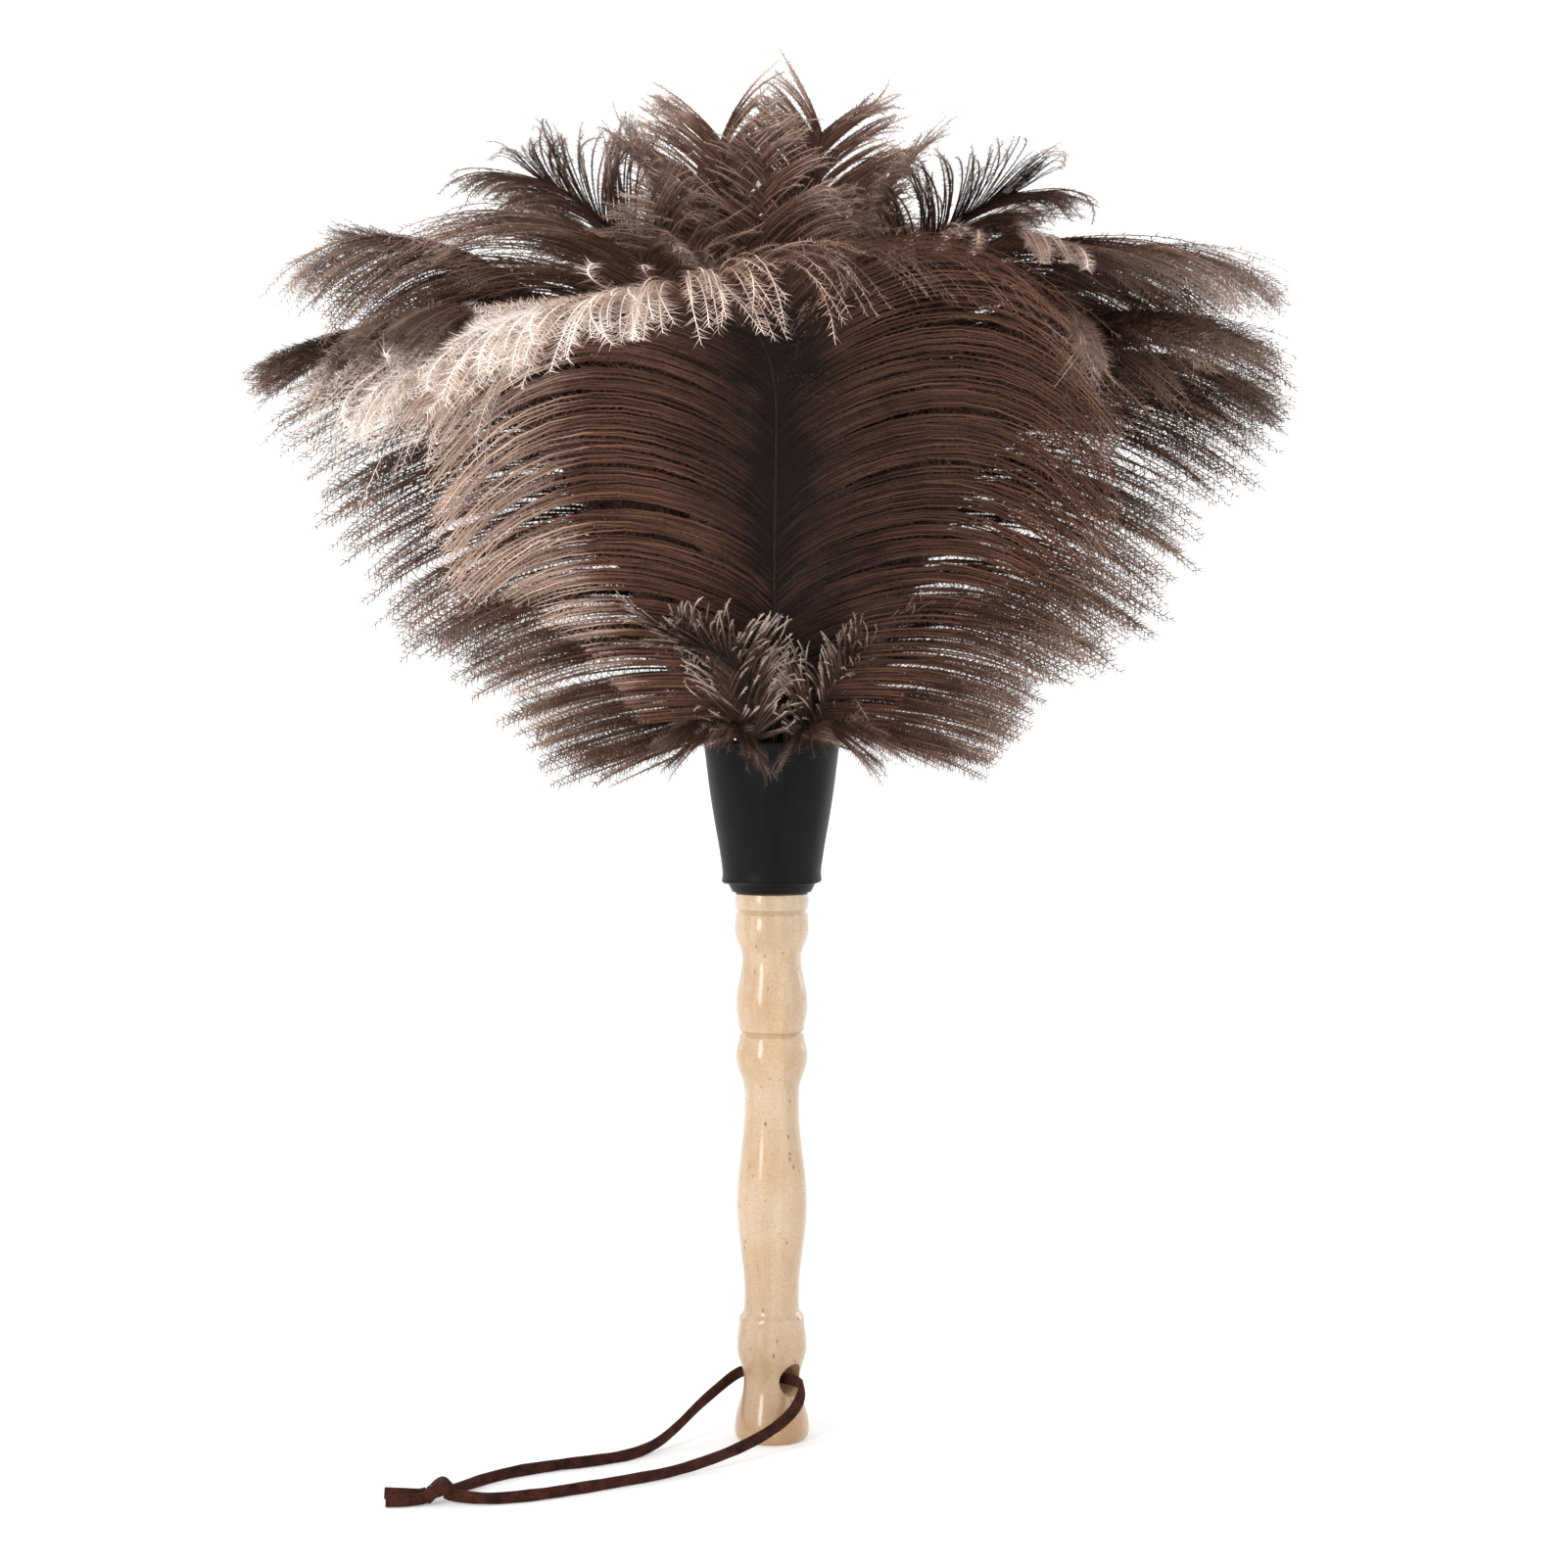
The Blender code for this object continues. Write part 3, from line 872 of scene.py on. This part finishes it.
def cut_lace_hole(handle, material):
    reach = HALF_DRILL[-1][0]
    outline = [
        (-reach, 0.0),
        *[(-distance, radius) for distance, radius in HALF_DRILL[::-1]],
        *HALF_DRILL,
        (reach, 0.0),
    ]
    drill = turned("drill", outline, material, DRILL_SEGMENTS)
    drill.rotation_euler = (0, math.pi / 2, HOLE_AZIMUTH)
    drill.location = (0, 0, HOLE_HEIGHT * MM)
    cut = handle.modifiers.new("lace hole", "BOOLEAN")
    cut.operation = "DIFFERENCE"
    cut.object = drill
    graph = bpy.context.evaluated_depsgraph_get()
    drilled = bpy.data.meshes.new_from_object(handle.evaluated_get(graph))
    handle.modifiers.clear()
    handle.data = drilled
    bpy.data.objects.remove(drill)


def collar_wobble(radius, angle, height):
    """A moulded soft collar is never quite round, and its lower edge dips a little."""
    low = np.clip((EDGE_TOP - height) / EDGE_FADE, 0, 1)
    outer = radius > EDGE_LEAST_RADIUS
    radius = radius * (1 + OUT_OF_ROUND * np.sin(2 * angle + 0.7))
    height = height + outer * low * EDGE_DIP * np.sin(3 * angle + 1.1)
    return radius, height


def make_collar(material):
    inside = [(height, radius - COLLAR_WALL) for height, radius in smooth_points(COLLAR_SIDE[2:], 16)]
    bore_foot = (COLLAR_FOOT[0][0], COLLAR_BORE_RADIUS)
    outline = [
        bore_foot,
        *COLLAR_FOOT,
        *smooth_points(COLLAR_SIDE, 40),
        *COLLAR_LIP,
        *inside[::-1],
        (COLLAR_FLOOR, inside[0][1] - COLLAR_FLOOR_ROUNDING),
        (COLLAR_FLOOR, COLLAR_BORE_RADIUS),
        bore_foot,
    ]
    collar = turned("black_collar", outline, material, wobble=collar_wobble)
    collar.data.set_sharp_from_angle(angle=COLLAR_SHARP_ANGLE)
    place_piece(collar, DUSTER, "collar")


# ---------------------------------------------------------------- lace


def sweep_flat(name, route, across, width, thickness, material):
    """A flat lace with soft corners along a route; across gives the direction of its width at each point."""
    angles = [2 * math.pi * (k + 0.5) / LACE_SIDES for k in range(LACE_SIDES)]
    circle = [(math.cos(a), math.sin(a)) for a in angles]
    corners = np.array([[math.copysign(abs(v) ** LACE_SQUARENESS, v) for v in point] for point in circle])
    along = tangents(route)
    across = unit(across - (across * along).sum(1, keepdims=True) * along)
    through = np.cross(along, across)
    width = np.broadcast_to(width, (len(route),))
    thickness = np.broadcast_to(thickness, (len(route),))
    rings = (
        route[:, None]
        + corners[None, :, :1] * across[:, None] * width[:, None, None] / 2
        + corners[None, :, 1:] * through[:, None] * thickness[:, None, None] / 2
    )
    points = rings.reshape(-1, 3)
    faces = [halved(tube_quads(len(route), LACE_SIDES))]
    here = np.arange(LACE_SIDES)
    there = (here + 1) % LACE_SIDES
    for end, first, flip in ((route[0], 0, True), (route[-1], (len(route) - 1) * LACE_SIDES, False)):
        fan = np.stack([first + here, first + there, np.full(LACE_SIDES, len(points))], 1)
        points = np.vstack([points, end])
        faces.append(fan[:, ::-1] if flip else fan)
    made = mesh_object(name, points, np.concatenate(faces), material)
    made.data.set_sharp_from_angle(angle=LACE_SHARP_ANGLE)
    return made


def make_strand(name, points, phase, material):
    """One strand of the lace: flat in the hole, then on edge along the surface. phase sets how it waves."""
    route = smooth_points(points, STRAND_STEPS)
    share = np.linspace(0, 1, STRAND_STEPS)
    upright = np.array([0.0, 0.0, 1.0])
    lean = LACE_LEAN * np.sin(share * 9.0 + phase)
    side = np.cross(tangents(route), upright)
    across = upright[None] * np.cos(lean)[:, None] + unit(side) * np.sin(lean)[:, None]
    wave = 1 + 0.03 * np.sin(share * 47 + phase * 2) + 0.02 * np.sin(share * 101)
    width, thickness = LACE_WIDTH * wave, LACE_THICKNESS * (2 - wave)
    strand = sweep_flat(f"suede_{name}", route, across, width, thickness, material)
    place_piece(strand, LOOP, f"lace_{name}")


def make_knot(material):
    """A tight overhand knot tied in both strands at once."""
    t = np.linspace(-KNOT_SPAN, KNOT_SPAN, KNOT_STEPS)
    x = (t**5 - 10 * t) * KNOT_SCALE[0]
    y = (t**4 - 4 * t**2) * KNOT_SCALE[1] + KNOT_SHIFT
    z = (t**3 - 3 * t) * KNOT_SCALE[2]
    cosine, sine = math.cos(KNOT_TURN), math.sin(KNOT_TURN)
    route = np.stack([x * cosine - y * sine, x * sine + y * cosine, z], 1)
    normal = unit(np.cross(tangents(route), unit(-route)))
    knot = sweep_flat("suede_knot", route + np.array(KNOT_CENTRE), normal, *KNOT_BAND, material)
    place_piece(knot, LOOP, "lace_knot")
    return knot


def make_tail(name, points, material):
    route = smooth_points(points, TAIL_STEPS)
    upright = np.repeat([[0.0, 0.25, 1.0]], len(route), 0)
    tail = sweep_flat(f"suede_{name}", route, upright, LACE_WIDTH, LACE_THICKNESS, material)
    place_piece(tail, LOOP, f"lace_{name}")
    return tail


def make_lace(material):
    knot_pieces = [make_knot(material)]
    knot_pieces += [make_tail(f"tail_{side}", points, material) for side, points in TAILS.items()]
    make_strand("front_strand", FRONT_STRAND, 0.0, material)
    make_strand("back_strand", BACK_STRAND, 2.0, material)


# ---------------------------------------------------------------- feathers


def make_shaft(look, azimuth, rng):
    """The shaft's points, with the directions along it, across the vane and out of its outer face."""
    share = np.linspace(0, look["shaft_share"], SHAFT_POINTS)
    route = smooth_points(look["route"], ROUTE_POINTS) * MM
    whole = np.linspace(0, 1, ROUTE_POINTS)
    radius, height = (np.interp(share, whole, route[:, k]) for k in range(2))
    bend = np.clip((share - BEND_FROM) / (1 - BEND_FROM), 0, 1) ** look["fold"]
    unruly = look["unruly"]
    sweep = look["sweep"] + SWEEP_SPREAD * rng.normal(0, unruly)
    angle = azimuth + math.radians(AZIMUTH_SPREAD * rng.normal(0, unruly)) + math.radians(sweep) * bend
    radius = radius * (1 + rng.normal(0, RADIUS_SPREAD) * bend)
    height = height + rng.normal(0, HEIGHT_SPREAD * unruly) * bend
    shaft = np.stack([radius * np.cos(angle), radius * np.sin(angle), height], 1)
    around = np.stack([-np.sin(angle), np.cos(angle), np.zeros(SHAFT_POINTS)], 1)
    along = tangents(shaft)
    out = unit(np.cross(around, along))
    travelled = np.r_[0, np.cumsum(np.linalg.norm(np.diff(shaft, axis=0), axis=1))]
    return shaft, along, np.cross(along, out), out, travelled


def barb_roots(shaft_parts, side, look, rng):
    """How far from the quill, 0, to the tip, 1, each barb on one side grows, and its point on the shaft.

    The three directions there come with it: along the shaft, away from it, and out of the vane's face.
    """
    shaft, along, across, out, travelled = shaft_parts
    count = look["barbs"]
    even = (np.arange(count) + 0.5 + rng.uniform(-0.35, 0.35, count)) / count
    beyond = even ** look["crowding"]
    place = look["bare"] * MM + (travelled[-1] - look["bare"] * MM - SHAFT_TIP_BARE) * beyond

    def at(values):
        return np.stack([np.interp(place, travelled, values[:, k]) for k in range(3)], 1)

    return beyond, at(shaft), (unit(at(along)), unit(at(across)) * side, unit(at(out)))


def barb_groups(look, rng):
    """The number of the group that each barb clings to, and a random turn that the group shares."""
    count, size = look["barbs"], look["group"]
    group = np.floor((np.arange(count) + rng.uniform(-1.5, 1.5, count)) / size).astype(int)
    group = np.clip(group, 0, count // size)
    return group, rng.normal(0, 1, count // size + 1)[group]


def barb_habits(beyond, group_turn, rough, side, look, rng):
    """Each barb's lean towards the feather's tip, its length, and how it hangs, splays, drifts and curls."""
    count = look["barbs"]
    unruly = look["unruly"] * (1 + look["tip_rough"] * rough)

    def varied(spread):
        with_group, alone = spread
        return unruly * (with_group * group_turn + rng.normal(0, alone, count))

    foot, tip = look["forward"]
    lean = foot + (tip - foot) * beyond**2.2 + varied(LEAN_SPREAD)
    lean = lean - look["foot_spread"] * np.clip(1 - beyond * 9, 0, 1)
    rise = np.sin(np.clip(beyond / 0.3, 0, 1) * math.pi / 2)
    length = (0.62 + 0.38 * rise) * (1 - (1 - look["tip_length"]) * tip_share(beyond) ** 1.5)
    length = look["barb_length"] * MM * np.clip(length * (1 + varied(LENGTH_SPREAD)), 0.2, 1.3)
    length = length * look["side_lengths"][side > 0]
    limp = look["limp"] * (1 + varied(LIMP_SPREAD))
    limp = limp * (0.25 + 0.75 * np.clip(beyond / 0.22, 0, 1)) * look["side_limps"][side > 0]
    splay = look["splay"] + varied(SPLAY_SPREAD)
    drift = unruly[:, None] * rng.normal(0, DRIFT_SPREAD, (count, 3))
    curl = unruly[:, None] * rng.normal(0, CURL_SPREAD, (count, 3))
    return lean, length, limp, splay, drift, curl


def tip_share(beyond):
    """0 up to 60 % of the way along the shaft, then rising to 1 at its tip."""
    return np.clip((beyond - 0.6) / 0.4, 0, 1)


def grow_barbs(shaft_parts, side, over, look, rng):
    """Centre lines of the barbs on one side, which leave the shaft at a slant, turn square to it and arch.

    forward is how far they lean towards the feather's tip, for the first and the last of them; limp is how
    much they hang; turn is by how many degrees they bend round the head; splay is how much they stand out
    from it; clump is how much they cling. over says that nothing covers the feather. The directions that the
    barbs face and a factor for their barbules' length come too.
    """
    beyond, start, (forward, sideways, face) = barb_roots(shaft_parts, side, look, rng)
    group, group_turn = barb_groups(look, rng)
    rough = tip_share(beyond) ** look["rough_power"]
    lean, length, limp, splay, drift, curl = barb_habits(beyond, group_turn, rough, side, look, rng)
    turn = math.radians(look["turn"]) * side
    down = np.array([0.0, 0.0, -1.0])
    step = (length / (BARB_POINTS - 1))[:, None]
    here, normal = start, face
    lines, normals = [start], [face]
    for number in range(1, BARB_POINTS):
        t = (number - 0.5) / (BARB_POINTS - 1)
        outward = unit(here * (1, 1, 0))
        slant = lean * (1 - 0.5 * t) + ROOT_SLANT * math.exp(-t / ROOT_SLANT_REACH)
        way = (
            turned_about_z(sideways, turn * t)
            + forward * slant[:, None]
            + outward * (splay * t)[:, None]
            + down * (limp * t**2)[:, None]
            + drift * t
            + curl * t**4
        )
        before = here
        here = here + unit(way) * step
        if not over:
            here = tucked_under(here)
        here = clear_of_collar(here)
        way = unit(here - before)
        normal = unit(normal - (normal * way).sum(1, keepdims=True) * way)
        lines.append(here)
        normals.append(normal)
    lines = clumped(np.stack(lines, 1), group, beyond, look)
    return shortened(lines, rng), np.stack(normals, 1), 1 + look["tip_fluff"] * rough


def turned_about_z(directions, angle):
    x, y, z = directions.T
    cosine, sine = math.cos(angle), math.sin(angle)
    return np.stack([x * cosine - y * sine, x * sine + y * cosine, z], 1)


def clumped(lines, group, beyond, look):
    """The barbs, drawn towards the middle of their group, most at their ends and near the feather's tip."""
    cling = np.minimum(look["clump"] * (1 + look["tip_rough"] * tip_share(beyond)), 0.9)
    cling = cling[:, None, None] * (np.linspace(0, 1, BARB_POINTS) ** 1.6)[None, :, None]
    for number in range(look["barbs"] // look["group"] + 1):
        chosen = group == number
        if chosen.sum() > 1:
            centre = lines[chosen].mean(0, keepdims=True)
            lines[chosen] += (centre - lines[chosen]) * cling[chosen]
    return lines


def shortened(lines, rng):
    """The barbs, shortened where they would reach past the widest radius of the head."""
    radius = np.linalg.norm(lines[..., :2], axis=2)
    most = np.minimum(rng.normal(HEAD_RADIUS, HEAD_RADIUS_SPREAD, (len(lines), 1)), HEAD_RADIUS_MOST)
    outward = radius - radius[:, :1]
    share = np.where(radius > most, (most - radius[:, :1]) / np.maximum(outward, 1e-6), 1.0).min(1)
    return lines[:, :1] + (lines - lines[:, :1]) * np.clip(share, 0.1, 1)[:, None, None]


def clear_of_collar(points):
    """The points, moved out where they would hang down into the collar."""
    low = (points[:, 2] < COLLAR_RIM) & (points[:, 2] > COLLAR_RIM - COLLAR_HEIGHT)
    radius = np.linalg.norm(points[:, :2], axis=1)
    grown = np.where(low & (radius < COLLAR_KEEP_OUT), COLLAR_KEEP_OUT / np.maximum(radius, 1e-6), 1.0)
    return points * np.stack([grown, grown, np.ones(len(points))], 1)


def tucked_under(points):
    """The points, moved in where they would stick out through one of the big covering feathers."""
    route = np.array(RINGS["outer"]["route"]) * MM
    crest = np.argmax(route[:, 1])
    rising = route[: crest + 1]
    for azimuth in np.radians(COVER_AZIMUTHS):
        outward = np.array([math.cos(azimuth), math.sin(azimuth), 0.0])
        beside = np.array([-math.sin(azimuth), math.cos(azimuth), 0.0])
        aside = points @ beside
        limit = np.interp(points[:, 2], rising[:, 1], rising[:, 0]) - COVER_GAP - aside**2 / (2 * COVER_CURVE)
        past = points @ outward - limit
        beside_shaft = (points[:, 2] < route[crest, 1]) & (points[:, 2] > COVER_FOOT)
        covered = beside_shaft & (np.abs(aside) < COVER_HALF_WIDTH) & (points @ outward > 0)
        points = points - outward * (np.clip(past, 0, None) * covered)[:, None]
    return points


def barb_ribbons(lines, normals, sideways, rows, look):
    """A ridged ribbon along each barb, as points, faces and the UVs of the faces' corners.

    A barb has its own row of the UV square: u runs along it and v across it, with the ridge in the middle.
    """
    t = np.linspace(0, 1, BARB_POINTS)
    half = (BARB_HALF_WIDTH * (1 - 0.80 * t**3))[None, :, None]
    ridge = (BARB_RIDGE * (1 - 0.7 * t))[None, :, None]
    ribbon = np.stack([lines - sideways * half, lines + normals * ridge, lines + sideways * half], 2)
    base = (np.arange(len(lines)) * BARB_POINTS * 3)[:, None, None]
    steps = (np.arange(BARB_POINTS - 1) * 3)[None, :, None]
    halves = np.arange(2)[None, None]
    corner = (base + steps + halves).reshape(-1)
    quads = np.stack([corner, corner + 1, corner + 4, corner + 3], 1)
    shape = (len(lines), BARB_POINTS - 1, 2)
    u_low = np.broadcast_to((t[:-1] * 0.98 + 0.01)[None, :, None], shape).reshape(-1)
    u_high = np.broadcast_to((t[1:] * 0.98 + 0.01)[None, :, None], shape).reshape(-1)
    v_low = (rows[:, None, None] + RIBBON_LOW_ROW + RIBBON_HALF_ROW * halves) / look["rows"]
    v_low = np.broadcast_to(v_low, shape).reshape(-1)
    v_high = v_low + RIBBON_HALF_ROW / look["rows"]
    return ribbon.reshape(-1, 3), halved(quads), halved(corner_uvs(u_low, u_high, v_low, v_high))


def corner_uvs(u_low, u_high, v_low, v_high):
    corners = (u_low, v_low), (u_low, v_high), (u_high, v_high), (u_high, v_low)
    return np.stack([np.stack(corner, 1) for corner in corners], 1)


def barb_fringes(lines, normals, ways, sideways, fluff, rows, look, rng):
    """Barbules, which are single thin triangles on both edges of each barb, as points, faces and UVs."""
    count, many = len(lines), look["barbules"]
    edge = np.where(np.arange(many) % 2 == 0, 1.0, -1.0)[None, :, None]
    where = 0.02 + 0.97 * (np.arange(many)[None] + rng.random((count, many))) / many
    place = where * (BARB_POINTS - 1)
    low = np.clip(place.astype(int), 0, BARB_POINTS - 2)
    part = (place - low)[..., None]
    index = np.arange(count)[:, None]

    def at(values):
        return values[index, low] * (1 - part) + values[index, low + 1] * part

    way, out, up = unit(at(ways)), unit(at(sideways)) * edge, at(normals)
    root = at(lines) + out * (BARB_HALF_WIDTH * 0.7 * (1 - 0.82 * where[..., None] ** 2.2))
    reach = look["barbule_reach"] * MM * (0.5 + 0.8 * where) * np.sqrt(np.clip((1.05 - where) * 5, 0, 1))
    reach = (reach * fluff[:, None] * rng.uniform(0.7, 1.35, (count, many)))[..., None]
    opening = look["opening"] + look["tip_opening"] * np.minimum(fluff[:, None] - 1, 1.2)
    opening = np.radians(opening + OPENING_SPREAD * rng.normal(0, 1, (count, many)))[..., None]
    lift = rng.normal(0, LIFT_SPREAD, (count, many))[..., None]
    tip = root + reach * unit(way * np.cos(opening) + out * np.sin(opening) + up * lift)
    foot = way * BARBULE_HALF_WIDTH
    points = np.stack([root - foot, root + foot, tip], 2).reshape(-1, 3)
    u = (where * 0.97 + 0.01).reshape(-1)
    v_root, v_tip = (
        (rows[:, None] + 0.5 + half_row * edge[..., 0]).reshape(-1) / look["rows"]
        for half_row in (BARBULE_ROOT_ROW, BARBULE_TIP_ROW)
    )
    uv = np.stack([np.stack(pair, 1) for pair in ((u, v_root), (u + 0.004, v_root), (u + 0.012, v_tip))], 1)
    return points, np.arange(len(points)).reshape(-1, 3), uv


def dress_barbs(lines, normals, fluff, rows, look, rng):
    """The points, faces and UVs of the barbs on one side: ribbons with their fringes."""
    ways = np.stack([tangents(line) for line in lines])
    sideways = np.cross(normals, ways)
    ribbons = barb_ribbons(lines, normals, sideways, rows, look)
    fringes = barb_fringes(lines, normals, ways, sideways, fluff, rows, look, rng)
    return joined((ribbons, fringes))


def joined(parts):
    """Several (points, faces, UVs) as one."""
    starts = np.cumsum([0, *[len(points) for points, _, _ in parts]])
    points = np.concatenate([part[0] for part in parts])
    faces = np.concatenate([part[1] + start for part, start in zip(parts, starts)])
    return points, faces, np.concatenate([part[2] for part in parts])


def shaft_tube(shaft_parts, first_row, look):
    """A tapering round shaft, with its UVs in the rows above those of its barbs."""
    shaft, _, across, out, _ = shaft_parts
    share = np.linspace(0, 1, SHAFT_POINTS)
    radius = (SHAFT_RADIUS * (1 - 0.85 * share**1.2))[:, None]
    turns = 2 * math.pi * np.arange(SHAFT_SIDES) / SHAFT_SIDES
    points = np.stack([shaft + (across * math.cos(a) + out * math.sin(a)) * radius for a in turns], 1)
    u_low, u_high = np.repeat(share[:-1], SHAFT_SIDES), np.repeat(share[1:], SHAFT_SIDES)
    v_step = (SHAFT_ROWS - 2) / SHAFT_SIDES
    v_low = (first_row + 1 + v_step * np.tile(np.arange(SHAFT_SIDES), SHAFT_POINTS - 1)) / look["rows"]
    v_high = v_low + v_step / look["rows"]
    faces = halved(tube_quads(SHAFT_POINTS, SHAFT_SIDES))
    return points.reshape(-1, 3), faces, halved(corner_uvs(u_low, u_high, v_low, v_high))


def plumes_of(look):
    """The (turn in radians, shaft share) of each plume: a feather has one, a tuft several small ones."""
    return look.get("plumes", ((0.0, look["shaft_share"]),))


def make_feather(name, look, azimuth, over, materials, seed):
    """One piece, with its barbs in the first material and its shafts in the second."""
    rng = np.random.default_rng(seed)
    parts = []
    slots = []
    row = 0
    for turned_by, shaft_share in plumes_of(look):
        plume = {**look, "shaft_share": shaft_share}
        shaft_parts = make_shaft(plume, azimuth + turned_by, rng)
        for order, side in enumerate((1, -1)):
            grown = grow_barbs(shaft_parts, side, over, plume, rng)
            parts.append(dress_barbs(*grown, row + 2 * np.arange(look["barbs"]) + order, look, rng))
            slots.append(0)
        row += 2 * look["barbs"]
        parts.append(shaft_tube(shaft_parts, row, look))
        slots.append(1)
        row += SHAFT_ROWS
    points, faces, uv = joined(parts)
    feather = mesh_object(name, points, faces, materials[0], smooth=False, uv=uv)
    feather.data.materials.append(materials[1])
    which = np.repeat(slots, [len(part[1]) for part in parts]).astype(np.int32)
    feather.data.polygons.foreach_set("material_index", which)
    return feather


def make_feathers():
    shaft_horn = shaft_material()
    numbers = range(1, FEATHERS_PER_RING + 1)
    for seed, (ring_name, number) in enumerate(itertools.product(RINGS, numbers), FIRST_SEED):
        key = f"{ring_name}_{number}"
        look = {**USUAL, **RINGS[ring_name], **SPECIAL.get(key, {})}
        look["rows"] = (2 * look["barbs"] + SHAFT_ROWS) * len(plumes_of(look))
        barbs = feather_material(f"barbs_{key}", look, seed)
        azimuth = math.radians(look["first_azimuth"] + 360 / FEATHERS_PER_RING * (number - 1))
        over = ring_name == "tuft" or (ring_name == "outer" and number % 2 == 1)
        feather = make_feather(f"plume_{key}", look, azimuth, over, (barbs, shaft_horn), seed)
        place_piece(feather, DUSTER, f"feather_{key}")


# ---------------------------------------------------------------- studio


def make_camera():
    data = bpy.data.cameras.new("camera")
    data.lens = LENS_MM
    data.sensor_width = 36
    data.clip_start = 0.01
    data.clip_end = 20
    camera = bpy.data.objects.new("camera", data)
    camera.location = (CAMERA_SIDE, -CAMERA_DISTANCE, CAMERA_HEIGHT)
    camera.rotation_euler = (math.pi / 2 - CAMERA_TILT, 0, 0)
    bpy.context.scene.collection.objects.link(camera)
    bpy.context.scene.camera = camera


def area_light(name, place, size, watts):
    data = bpy.data.lights.new(name, "AREA")
    data.shape = "RECTANGLE"
    data.size, data.size_y = size
    data.energy = watts
    light = bpy.data.objects.new(name, data)
    light.location = place
    light.rotation_euler = (Vector(LIGHTS_AIM) - Vector(place)).to_track_quat("-Z", "Y").to_euler()
    bpy.context.scene.collection.objects.link(light)


def make_studio():
    side = [(height / MM, radius / MM) for radius, height in smooth_points(BOWL, BOWL_POINTS)]
    bowl = turned("studio_bowl", [(0.0, 0.0), *side], studio_material())
    for name, (place, size, watts) in LIGHTS.items():
        area_light(name, place, size, watts)
    world = bpy.data.worlds.new("studio")
    world.use_nodes = True
    background = world.node_tree.nodes["Background"]
    background.inputs["Color"].default_value = (1, 1, 1, 1)
    background.inputs["Strength"].default_value = WORLD_STRENGTH
    bpy.context.scene.world = world
    bpy.context.scene.view_settings.view_transform = "Standard"


def dress_hidden_nodes():
    wire = wire_material()
    for name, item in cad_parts.items():
        if name.startswith("binding_wire"):
            item.data.materials.clear()
            item.data.materials.append(wire)


def main():
    make_camera()
    make_lace(suede_material())
    make_handle(wood_material())
    make_collar(collar_material())
    dress_hidden_nodes()
    make_feathers()
    make_studio()


main()
